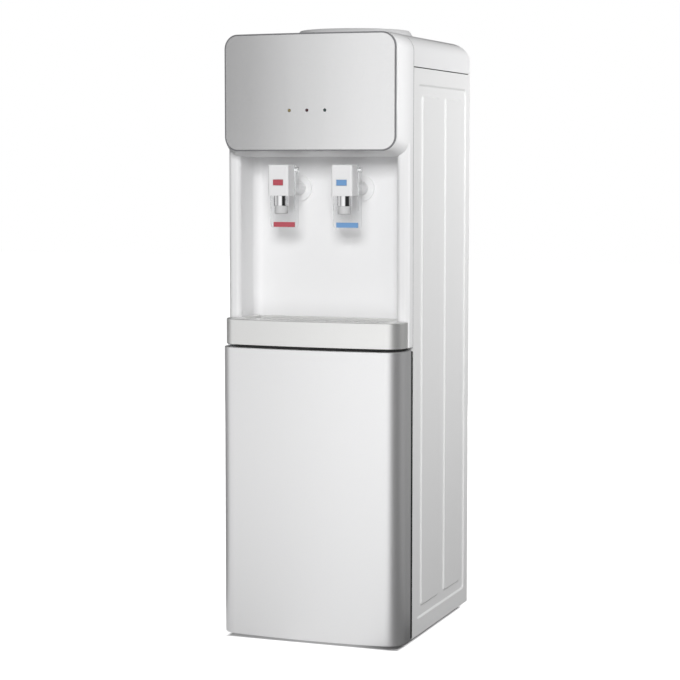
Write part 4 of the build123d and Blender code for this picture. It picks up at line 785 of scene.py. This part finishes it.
@dataclass
class ShadeStrips:
    """Black strips in the seams of the front moulding, the top cover and the door, which paint the
    shade that falls in those gaps.
    """

    seam_width: float = 0.0015
    seam_depth: float = 0.004
    seam_gap: float = 0.0016
    seam_setback: float = 0.0001
    seam_edge: float = 0.0002
    corner: float = 0.028
    door_height: float = 0.0034
    door_depth: float = 0.006
    door_setback: float = 0.0025
    door_edge: float = 0.0005
    cover_setback: float = 0.0012
    side_width: float = 0.0021
    side_depth: float = 0.0056
    side_gap: float = 0.0003
    side_edge: float = 0.0004
    door_lift: float = 0.0003
    bow: float = 0.010
    turn: float = 0.029
    corner_steps: int = 12
    turn_steps: int = 8
    bow_steps: int = 24

    def build(self) -> None:
        """Make every strip."""
        self.door_sides()
        self.seam()
        self.cover_line()
        self.door_line()

    def door_sides(self) -> None:
        """Upright black strips on the cabinet's front edges, beside the door's own seal, as
        painted shade in the gap.
        """
        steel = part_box("side_panel_right")
        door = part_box("door_shell")
        foot = door[0].z + self.side_width
        rise = door[1].z - self.side_width - foot
        for name, side in (("left", -1.0), ("right", 1.0)):
            place = side * (steel[1].x - self.seam_setback - self.side_width / 2.0)
            depth = steel[0].y - self.side_gap - self.side_depth / 2.0
            run = Sweep(self.side_width, self.side_depth, (place, depth, foot), Axis.Z)
            run.straight((0.0, 0.0, rise))
            self.fit(run, self.side_edge, f"door_side_shade_strip_{name}")

    def seam(self) -> None:
        """Strip up one side, over the hood and down the other side."""
        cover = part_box("top_cover")
        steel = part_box("side_panel_right")
        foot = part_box("tray_surround")[0].z
        half = cover[1].x
        place = steel[0].y - self.seam_gap / 2.0
        inset = self.seam_setback + self.seam_depth / 2.0
        bend_z = cover[1].z - self.corner
        run = Sweep(self.seam_depth, self.seam_width, (inset - half, place, foot), Axis.Z)
        run.straight((0.0, 0.0, bend_z - foot))
        run.bend((self.corner - half, place, bend_z), Axis.Y, QUARTER, self.corner_steps)
        run.straight((2.0 * (half - self.corner), 0.0, 0.0))
        run.bend((half - self.corner, place, bend_z), Axis.Y, QUARTER, self.corner_steps)
        run.straight((0.0, 0.0, foot - bend_z))
        self.fit(run, self.seam_edge, "seam_shade_strip")

    def cover_line(self) -> None:
        """Strip under the foot of the top cover, along both sides and the back."""
        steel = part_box("side_panel_right")
        half = steel[1].x
        level = steel[1].z + self.seam_gap / 2.0
        inset = self.cover_setback + self.seam_depth / 2.0
        turn_x = half - inset - self.seam_depth
        turn_y = steel[1].y - inset - self.seam_depth
        run = Sweep(self.seam_depth, self.seam_width, (half - inset, steel[0].y, level), Axis.Y)
        run.straight((0.0, turn_y - steel[0].y, 0.0))
        run.bend((turn_x, turn_y, level), Axis.Z, QUARTER, self.corner_steps // 2)
        run.straight((-2.0 * turn_x, 0.0, 0.0))
        run.bend((-turn_x, turn_y, level), Axis.Z, QUARTER, self.corner_steps // 2)
        run.straight((0.0, steel[0].y - turn_y, 0.0))
        self.fit(run, self.seam_edge, "cover_shade_strip")

    def door_line(self) -> None:
        """Black strip under the tray band that darkens the gap over the door as painted shade."""
        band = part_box("tray_surround")
        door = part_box("door_shell")
        half = band[1].x
        sweep = (half ** 2 + self.bow ** 2) / (2.0 * self.bow)
        centre_y = band[0].y + sweep
        corner_x = half - self.turn
        corner_y = centre_y - math.sqrt((sweep - self.turn) ** 2 - corner_x ** 2)
        along = math.asin(corner_x / (sweep - self.turn))
        level = (band[0].z + door[1].z) / 2.0 + self.door_lift
        radius = sweep - self.door_setback - self.door_depth / 2.0
        run = Sweep(self.door_height, self.door_depth, (0.0, centre_y - radius, level), Axis.X)
        bmesh.ops.rotate(run.mesh, cent=(0.0, centre_y, 0.0), verts=run.mesh.verts,
                         matrix=Matrix.Rotation(-along, 3, "Z"))
        run.bend((0.0, centre_y, level), Axis.Z, 2.0 * along, self.bow_steps)
        run.bend((corner_x, corner_y, level), Axis.Z, QUARTER - along, self.turn_steps)
        run.straight((0.0, self.turn / 2.0, 0.0))
        self.fit(run, self.door_edge, "door_shade_strip")

    def fit(self, run: Sweep, edge: float, name: str) -> None:
        """Turn a run into a black strip on the cabinet that paints the shade in a seam.

        Args:
            run: The run.
            edge: Width in metres of the rounding on its long edges.
            name: The strip's name.
        """
        # Black rubber finish, used here as painted shade in the seams.
        publish(run.finish(edge), name, "cabinet", Finishes.rubber)


@dataclass
class Fasteners:
    """Round-edged screw heads with a sunk socket on the control plate."""

    head: float = 0.0032
    rise: float = 0.0016
    socket: float = 0.0016
    socket_depth: float = 0.0009
    edge: float = 0.0008
    edge_steps: int = 3
    sides: int = 24
    margin: float = 0.0055

    def build(self) -> None:
        """Put one screw in each corner of the control plate."""
        low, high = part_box("control_plate")
        for column, x in (("near", low.x + self.margin), ("far", high.x - self.margin)):
            for row, z in (("foot", low.z + self.margin), ("head", high.z - self.margin)):
                self.screw(f"plate_screw_{column}_{row}", (x, high.y, z))

    def screw(self, name: str, spot: Point) -> None:
        """One screw head that faces the rear.

        Args:
            name: Its name.
            spot: The middle of its foot.
        """
        mesh = bmesh.new()
        bmesh.ops.create_circle(mesh, cap_ends=True, segments=self.sides, radius=self.head)
        top = bmesh.ops.extrude_face_region(mesh, geom=mesh.faces[:])["geom"]
        verts = [item for item in top if isinstance(item, bmesh.types.BMVert)]
        bmesh.ops.translate(mesh, vec=(0.0, 0.0, self.rise), verts=verts)
        rim = [edge for item in top if isinstance(item, bmesh.types.BMFace)
               for edge in item.edges]
        bmesh.ops.bevel(mesh, geom=rim, offset=self.edge, offset_type="OFFSET",
                        affect="EDGES", segments=self.edge_steps, profile=0.5, material=-1)
        crown = max(mesh.faces, key=lambda face: face.calc_center_median().z)
        bmesh.ops.inset_individual(mesh, faces=[crown],
                                   thickness=self.head - self.edge - self.socket)
        sunk = bmesh.ops.extrude_discrete_faces(mesh, faces=[crown])["faces"]
        bmesh.ops.translate(mesh, vec=(0.0, 0.0, -self.socket_depth),
                            verts=[vert for face in sunk for vert in face.verts])
        bmesh.ops.recalc_face_normals(mesh, faces=mesh.faces[:])
        bmesh.ops.rotate(mesh, cent=ORIGIN, verts=mesh.verts,
                         matrix=Matrix.Rotation(-QUARTER, 3, "X"))
        bmesh.ops.translate(mesh, vec=spot, verts=mesh.verts)
        publish(mesh, name, "cabinet", Finishes.screw)


@dataclass
class CompressorTrim:
    """Weld flange round the compressor and the cover over its terminals."""

    flange_width: float = 0.0035
    flange_height: float = 0.004
    flange_share: float = 0.56
    flange_steps: int = 72
    edge_share: float = 1.0 / 6.0
    box_width: float = 0.052
    box_depth: float = 0.016
    box_height: float = 0.046
    box_edge: float = 0.004
    edge_steps: int = 3
    overlap: float = 0.006

    def build(self) -> None:
        """Make the flange and the terminal cover."""
        low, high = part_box("compressor")
        radius = min(high.x - low.x, high.y - low.y) / 2.0
        centre = ((low.x + high.x) / 2.0, (low.y + high.y) / 2.0,
                  low.z + (high.z - low.z) * self.flange_share)
        self.flange(centre, radius)
        self.cover(centre, radius)

    def flange(self, centre: Point, radius: float) -> None:
        """Ring round the can where its halves are welded.

        Args:
            centre: The ring's centre.
            radius: Radius of the can.
        """
        along, across, level = centre
        run = Sweep(self.flange_width * 2.0, self.flange_height,
                    (along + radius - self.flange_width / 2.0, across, level), Axis.Y)
        run.bend(centre, Axis.Z, FULL, self.flange_steps)
        publish(run.finish(self.flange_height * self.edge_share), "weld_flange", "cabinet",
                Finishes.enamel)

    def cover(self, centre: Point, radius: float) -> None:
        """Rounded box over the terminals, on the can's left.

        Args:
            centre: Centre of the weld flange.
            radius: Radius of the can.
        """
        along, across, level = centre
        mesh = bmesh.new()
        bmesh.ops.create_cube(mesh, size=1.0)
        bmesh.ops.scale(mesh, vec=(self.box_depth + self.overlap, self.box_width,
                                   self.box_height), verts=mesh.verts)
        bmesh.ops.bevel(mesh, geom=mesh.edges[:], offset=self.box_edge, offset_type="OFFSET",
                        affect="EDGES", segments=self.edge_steps, profile=0.5, material=-1)
        bmesh.ops.translate(mesh, verts=mesh.verts, vec=(
            along - radius - (self.box_depth - self.overlap) / 2.0, across,
            level - self.box_height))
        publish(mesh, "terminal_cover", "cabinet", Finishes.black)


@dataclass
class Cabinet:
    """Pressed steel sides, base, deck, back and storage liner."""

    press_edge: float = 0.0008
    press_smooth: float = 20.0

    def build(self) -> None:
        """Dress the steel and the liner."""
        for side in ("left", "right"):
            refine(f"side_panel_{side}", f"pressed_side_{side}", Finishes.steel,
                   smooth=self.press_smooth, edge=self.press_edge)
        dress("back_panel", Finishes.steel)
        for node in ("base_pan", "deck", "tank_shelf"):
            dress(node, Finishes.zinc)
        dress("back_screws", Finishes.screw)
        refine("feet", "rubber_glides", Finishes.rubber)
        dress("cabinet_liner", Finishes.liner)


@dataclass
class FrontMoulding:
    """Hood, cheeks, alcove, display panel and lamps."""

    def build(self) -> None:
        """Dress the front mouldings."""
        refine("front_cover", "front_moulding", Finishes.shell)
        refine("alcove_liner", "alcove_moulding", Finishes.alcove)
        refine("panel_bezel", "panel_surround", Finishes.bezel)
        refine("display_panel", "lamp_panel", Finishes.pearl)
        refine("lamp_power", "power_lens", Finishes.amber)
        refine("lamp_heating", "heating_lens", Finishes.dark_red)
        refine("lamp_cooling", "cooling_lens", Finishes.teal)
        dress("lamp_board", Finishes.board)


@dataclass
class Taps:
    """Both taps with their collars, spouts, paddles and marks."""

    def build(self) -> None:
        """Dress both taps."""
        for name in ("hot", "cold"):
            refine(f"{name}_tap_body", f"{name}_tap", Finishes.tap)
            dress(f"{name}_tap_stem", Finishes.silicone)
            refine(f"{name}_paddle", f"{name}_clear_paddle", Finishes.clear)
        refine("hot_paddle_bar", "hot_bar", Finishes.red)
        refine("cold_paddle_bar", "cold_bar", Finishes.blue)
        refine("hot_lock_button", "hot_button", Finishes.red)
        refine("cold_mark", "cold_plate", Finishes.blue)
        refine("tap_collars", "chrome_collars", Finishes.chrome)
        refine("tap_spouts", "spout_sleeves", Finishes.spout)
        dress("tap_nuts", Finishes.nut)


@dataclass
class Tray:
    """Bowed band with its well, the drip tray and the grille."""

    def build(self) -> None:
        """Dress the tray."""
        refine("tray_surround", "tray_band", Finishes.band)
        refine("drip_tray", "drip_basin", Finishes.tray)
        refine("drip_grille", "tray_grille", Finishes.tray)


@dataclass
class Door:
    """Door shell, liner, gasket and hinges."""

    def build(self) -> None:
        """Dress the door."""
        refine("door_shell", "door_skin", Finishes.door)
        refine("door_liner", "door_inner", Finishes.liner)
        refine("door_gasket", "door_seal", Finishes.rubber)
        for name in ("upper", "lower"):
            refine(f"hinge_{name}", f"{name}_hinge", Finishes.zinc)


@dataclass
class Top:
    """Top cover, bottle collar and spike."""

    def build(self) -> None:
        """Dress the top."""
        refine("top_cover", "cover_moulding", Finishes.shell)
        refine("bottle_collar", "bottle_ring", Finishes.collar)
        refine("bottle_spike", "feed_spike", Finishes.collar)
        refine("tank_lid", "lid_ring", Finishes.liner)


@dataclass
class WaterSide:
    """Tanks, foam, heater and hoses."""

    coil_tube: float = 0.003
    coil_sides: int = 12
    coil_turns: int = 8
    coil_steps: int = 64

    def build(self) -> None:
        """Dress the tanks and hoses."""
        refine("cold_tank", "cold_vessel", Finishes.tank)
        refine("cold_foam", "cold_foam_shell", Finishes.foam)
        self.coil()
        refine("hot_tank", "hot_vessel", Finishes.tank)
        refine("hot_jacket", "hot_foam_shell", Finishes.foam)
        refine("heater_band", "band_heater", Finishes.tank)
        refine("water_hoses", "silicone_hoses", Finishes.silicone)
        refine("drain_cap", "drain_plug", Finishes.black)

    def coil(self) -> None:
        """Wind the copper tube round the cold tank in place of the CAD coil."""
        low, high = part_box("evaporator_coil")
        centre = ((low.x + high.x) / 2.0, (low.y + high.y) / 2.0)
        reach = (high.x - low.x) / 2.0 - self.coil_tube
        climb = high.z - low.z - 2.0 * self.coil_tube
        mesh = bmesh.new()
        ring = bmesh.ops.create_circle(mesh, segments=self.coil_sides,
                                       radius=self.coil_tube)["verts"]
        bmesh.ops.rotate(mesh, cent=ORIGIN, verts=ring, matrix=Matrix.Rotation(QUARTER, 3, "X"))
        bmesh.ops.translate(mesh, verts=ring,
                            vec=(centre[0] + reach, centre[1], low.z + self.coil_tube))
        steps = self.coil_turns * self.coil_steps
        bmesh.ops.spin(mesh, geom=[*ring, *mesh.edges], cent=(*centre, 0.0), axis=Axis.Z.value,
                       dvec=(0.0, 0.0, climb / steps), angle=FULL * self.coil_turns,
                       steps=steps)
        bmesh.ops.holes_fill(mesh, edges=mesh.edges[:], sides=self.coil_sides)
        bmesh.ops.recalc_face_normals(mesh, faces=mesh.faces[:])
        piece = publish(mesh, "chill_coil", body_of("evaporator_coil"),
                        Finishes.copper)
        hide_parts("evaporator_coil")


@dataclass
class CoolingSide:
    """Compressor, condenser, dryer and refrigerant lines."""

    def build(self) -> None:
        """Dress the cooling circuit."""
        refine("compressor", "compressor_can", Finishes.enamel)
        refine("compressor_mounts", "compressor_grommets", Finishes.rubber)
        refine("condenser", "condenser_grid", Finishes.enamel)
        dress("condenser_clips", Finishes.black)
        refine("refrigerant_lines", "copper_lines", Finishes.copper)
        refine("filter_dryer", "dryer_can", Finishes.copper)


@dataclass
class RearControls:
    """Control plate, switches and mains inlet."""

    def build(self) -> None:
        """Dress the rear controls."""
        dress("control_plate", Finishes.black)
        dress("power_inlet", Finishes.black)
        refine("hot_switch", "hot_rocker", Finishes.switch_red)
        refine("cold_switch", "cold_rocker", Finishes.switch_green)


@dataclass(frozen=True)
class Softbox:
    """A rectangular soft lamp aimed at a point."""

    name: str
    place: Point
    target: Point
    width: float
    height: float
    power: float

    def build(self) -> None:
        """Make the lamp, unseen by the camera and in reflections."""
        data = bpy.data.lights.new(self.name, "AREA")
        data.shape = "RECTANGLE"
        data.size = self.width
        data.size_y = self.height
        data.energy = self.power
        lamp = bpy.data.objects.new(self.name, data)
        bpy.context.scene.collection.objects.link(lamp)
        place = Vector(self.place)
        way = Vector(self.target) - place
        lamp.matrix_world = (Matrix.Translation(place)
                             @ way.to_track_quat("-Z", "Y").to_matrix().to_4x4())
        lamp.visible_camera = False
        lamp.visible_glossy = False


@dataclass
class Studio:
    """Floor, reflection wall, lamps, world and camera."""

    eye: Point = (1.1485, -3.07705, 0.7728)
    tilt: float = 90.0 - 5.12
    pan: float = 20.68
    lens: float = 104.19
    sensor: float = 36.0
    far_clip: float = 60.0
    ambient: float = 0.52
    overhead: float = 0.03
    overhead_rise: Span = (0.05, 0.7)
    overhead_gloss: float = 0.06
    gloss_rise: Span = (0.3, 0.7)
    floor_glow: float = 0.8
    glow_reach: Span = (0.3, 1.5)
    seen_tone: float = 0.8
    lit_tone: float = 0.15
    footprint: Span = (0.146, 0.166)
    contact_shadow_reach: float = 0.006
    floor_half: float = 12.0
    skirt_reach: float = 0.02
    reflected_shadow_fade: float = 0.2
    reflected_shadow_tone: float = 0.6
    wall_foot: float = 0.004
    wall_reach: float = 2.6
    wall_height: float = 3.4
    wall_steps: int = 72
    tone_rise: Span = (0.3, 0.7)
    lamps: tuple[Softbox, ...] = (
        Softbox("key_softbox", (0.98, -3.22, 1.72), (0.0, 0.0, 0.75), 1.0, 0.9, 74.0),
        Softbox("fill_softbox", (0.75, -2.2, 0.25), (0.0, 0.0, 0.8), 2.4, 0.5, 10.0),
        Softbox("side_softbox", (1.25, 0.55, 1.05), (0.155, 0.05, 0.9), 0.9, 0.6, 14.0),
        Softbox("rear_softbox", (-0.7, 3.0, 0.6), (0.0, 0.18, 0.6), 1.2, 0.8, 16.0))
    tones: tuple[Span, ...] = (
        (-180.0, 0.10), (-160.0, 0.07), (-84.0, 0.20), (-72.0, 0.85), (-54.0, 0.80), (-44.0, 0.28),
        (-36.0, 0.34), (-20.0, 0.74), (-6.0, 1.0), (24.0, 1.04), (38.0, 0.03), (84.0, 0.03),
        (96.0, 0.22), (164.0, 0.12), (180.0, 0.10))
    low_tones: tuple[Span, ...] = (
        (-180.0, 0.45), (-160.0, 0.20), (-84.0, 0.20), (-72.0, 0.90), (-36.0, 0.84), (-20.0, 0.96),
        (-6.0, 1.12), (22.0, 1.13), (46.0, 0.02), (84.0, 0.02), (96.0, 0.22), (164.0, 0.22),
        (180.0, 0.45))

    def build(self) -> None:
        """Set the stage."""
        self.world()
        self.floor()
        self.wall()
        for lamp in self.lamps:
            lamp.build()
        self.camera()

    def seen(self, graph: Graph) -> Socket:
        """Tell the rays that show a surface from those that only carry its light.

        Args:
            graph: The graph.

        Returns:
            One for camera, glossy and transmission rays, zero for the others.
        """
        path = graph.node("ShaderNodeLightPath").outputs
        bent = graph.maths("MAXIMUM", path["Is Glossy Ray"], path["Is Transmission Ray"])
        return graph.maths("MAXIMUM", path["Is Camera Ray"], bent)

    def world(self) -> None:
        """White to the camera; darker overhead as light and in reflections."""
        world = bpy.data.worlds.new("studio_world")
        bpy.context.scene.world = world
        graph = Graph(world)
        sky = graph.node("ShaderNodeTexCoord").outputs["Generated"]
        height = graph.node("ShaderNodeSeparateXYZ", Vector=sky).outputs["Z"]
        lit = graph.spread(height, self.ambient, self.overhead, *self.overhead_rise)
        mirrored = graph.spread(height, 1.0, self.overhead_gloss, *self.gloss_rise)
        path = graph.node("ShaderNodeLightPath").outputs
        plain = graph.blend(self.seen(graph), lit, 1.0)
        level = graph.blend(path["Is Glossy Ray"], plain, mirrored)
        graph.close(graph.node("ShaderNodeBackground", Color=WHITE, Strength=level),
                    "ShaderNodeOutputWorld")

    def stand(self, name: str, mesh: bmesh.types.BMesh) -> bpy.types.Object:
        """Put a stage mesh in the scene.

        Args:
            name: The object's name.
            mesh: Its bmesh, which is freed.

        Returns:
            The new object.
        """
        data = bpy.data.meshes.new(name)
        mesh.to_mesh(data)
        mesh.free()
        made = bpy.data.objects.new(name, data)
        bpy.context.scene.collection.objects.link(made)
        return made

    def floor(self) -> None:
        """Pale floor that shows white to the camera, keeps the object's shadow and has a painted
        contact shadow under it.
        """
        mesh = bmesh.new()
        bmesh.ops.create_grid(mesh, x_segments=1, y_segments=1, size=self.floor_half)
        floor = self.stand("floor", mesh)
        graph = Graph.named("studio_floor")
        away = graph.node("ShaderNodeVectorMath", operation="LENGTH", Vector=graph.position())
        level = graph.spread(away.outputs["Value"], self.floor_glow, 1.0, *self.glow_reach)
        # The glow is cut out under the object's footprint, which paints a dark contact shadow
        # there.
        glow = graph.node("ShaderNodeEmission", Color=WHITE,
                          Strength=graph.maths("MULTIPLY", level, self.contact_shadow_mask(graph)))
        pale = graph.node("ShaderNodeBsdfDiffuse", Color=grey(self.seen_tone))
        bright = graph.node("ShaderNodeAddShader")
        graph.feed(bright.inputs[0], pale.outputs[0])
        graph.feed(bright.inputs[1], glow.outputs[0])
        plain = graph.node("ShaderNodeBsdfDiffuse", Color=grey(self.lit_tone))
        pick = graph.node("ShaderNodeMixShader", Fac=self.seen(graph))
        graph.feed(pick.inputs[1], plain.outputs[0])
        graph.feed(pick.inputs[2], bright.outputs[0])
        floor.data.materials.append(graph.close(pick))

    def contact_shadow_mask(self, graph: Graph) -> Socket:
        """Find the floor under the object, where the glow is left out as a painted contact shadow.

        Args:
            graph: The floor's graph.

        Returns:
            Zero under the object, one beside it.
        """
        place = graph.node("ShaderNodeSeparateXYZ", Vector=graph.position()).outputs
        beyond = [graph.maths("SUBTRACT", graph.maths("ABSOLUTE", place[axis]), half)
                  for axis, half in zip("XY", self.footprint)]
        return graph.spread(graph.maths("MAXIMUM", *beyond), 0.0, 1.0, 0.0, self.contact_shadow_reach)

    def wall(self) -> None:
        """Round wall whose grey tones by direction show only in reflections."""
        mesh = bmesh.new()
        ring = [mesh.verts.new((0.0, reach, height)) for reach, height in
                ((self.skirt_reach, self.wall_foot), (self.wall_reach, self.wall_foot),
                 (self.wall_reach, self.wall_height))]
        edges = [mesh.edges.new(pair) for pair in zip(ring, ring[1:])]
        bmesh.ops.spin(mesh, geom=[*ring, *edges], cent=ORIGIN, axis=Axis.Z.value, angle=FULL,
                       steps=self.wall_steps, use_merge=True)
        wall = self.stand("reflection_wall", mesh)
        wall.visible_camera = False
        wall.visible_diffuse = False
        wall.visible_shadow = False
        wall.visible_transmission = False
        graph = Graph.named("reflection_wall")
        place = graph.node("ShaderNodeSeparateXYZ", Vector=graph.position()).outputs
        front = graph.maths("MULTIPLY", place["Y"], -1.0)
        turn = graph.maths("ARCTAN2", place["X"], front)
        around = graph.spread(turn, 0.0, 1.0, -math.pi, math.pi)
        rise = graph.spread(place["Z"], 0.0, 1.0, *self.tone_rise)
        tone = graph.blend_colours(rise, self.ramp(graph, self.low_tones, around),
                                   self.ramp(graph, self.tones, around))
        # The wall is dimmer near the object: a painted shadow of the floor in the object's
        # reflections.
        apart = graph.node("ShaderNodeVectorMath", operation="LENGTH",
                           Vector=graph.position((1.0, 1.0, 0.0)))
        level = graph.spread(apart.outputs["Value"], self.reflected_shadow_tone, 1.0, self.reflected_shadow_fade,
                             self.wall_reach)
        wall.data.materials.append(graph.close(
            graph.node("ShaderNodeEmission", Color=tone, Strength=level)))

    def ramp(self, graph: Graph, tones: tuple[Span, ...], around: Socket) -> Socket:
        """Grey tones by direction round the object.

        Args:
            graph: The wall's graph.
            tones: Azimuth in degrees and tone, in order.
            around: Azimuth from 0 to 1.

        Returns:
            The colour socket.
        """
        ramp = graph.node("ShaderNodeValToRGB", Fac=around)
        ramp.color_ramp.interpolation = "EASE"
        stops = ramp.color_ramp.elements
        for azimuth, tone in tones[1:-1]:
            stops.new((azimuth + 180.0) / 360.0).color = grey(tone)
        stops[0].color = grey(tones[0][1])
        stops[-1].color = grey(tones[-1][1])
        return ramp.outputs["Color"]

    def camera(self) -> None:
        """The camera at the photograph's angle."""
        data = bpy.data.cameras.new("camera")
        data.lens = self.lens
        data.sensor_width = self.sensor
        data.clip_end = self.far_clip
        camera = bpy.data.objects.new("camera", data)
        bpy.context.scene.collection.objects.link(camera)
        camera.location = self.eye
        camera.rotation_euler = (math.radians(self.tilt), 0.0, math.radians(self.pan))
        bpy.context.scene.camera = camera


def main() -> None:
    """Build every sub-assembly, then the studio."""
    logging.basicConfig(level=logging.INFO, format="%(message)s")
    bpy.context.scene.view_settings.view_transform = "Standard"
    for assembly in (Cabinet(), ShadeStrips(), Fasteners(), CompressorTrim(), FrontMoulding(), Taps(),
                     Tray(), Door(), Top(), WaterSide(), CoolingSide(), RearControls(), Studio()):
        assembly.build()


if __name__ == "__main__":
    main()
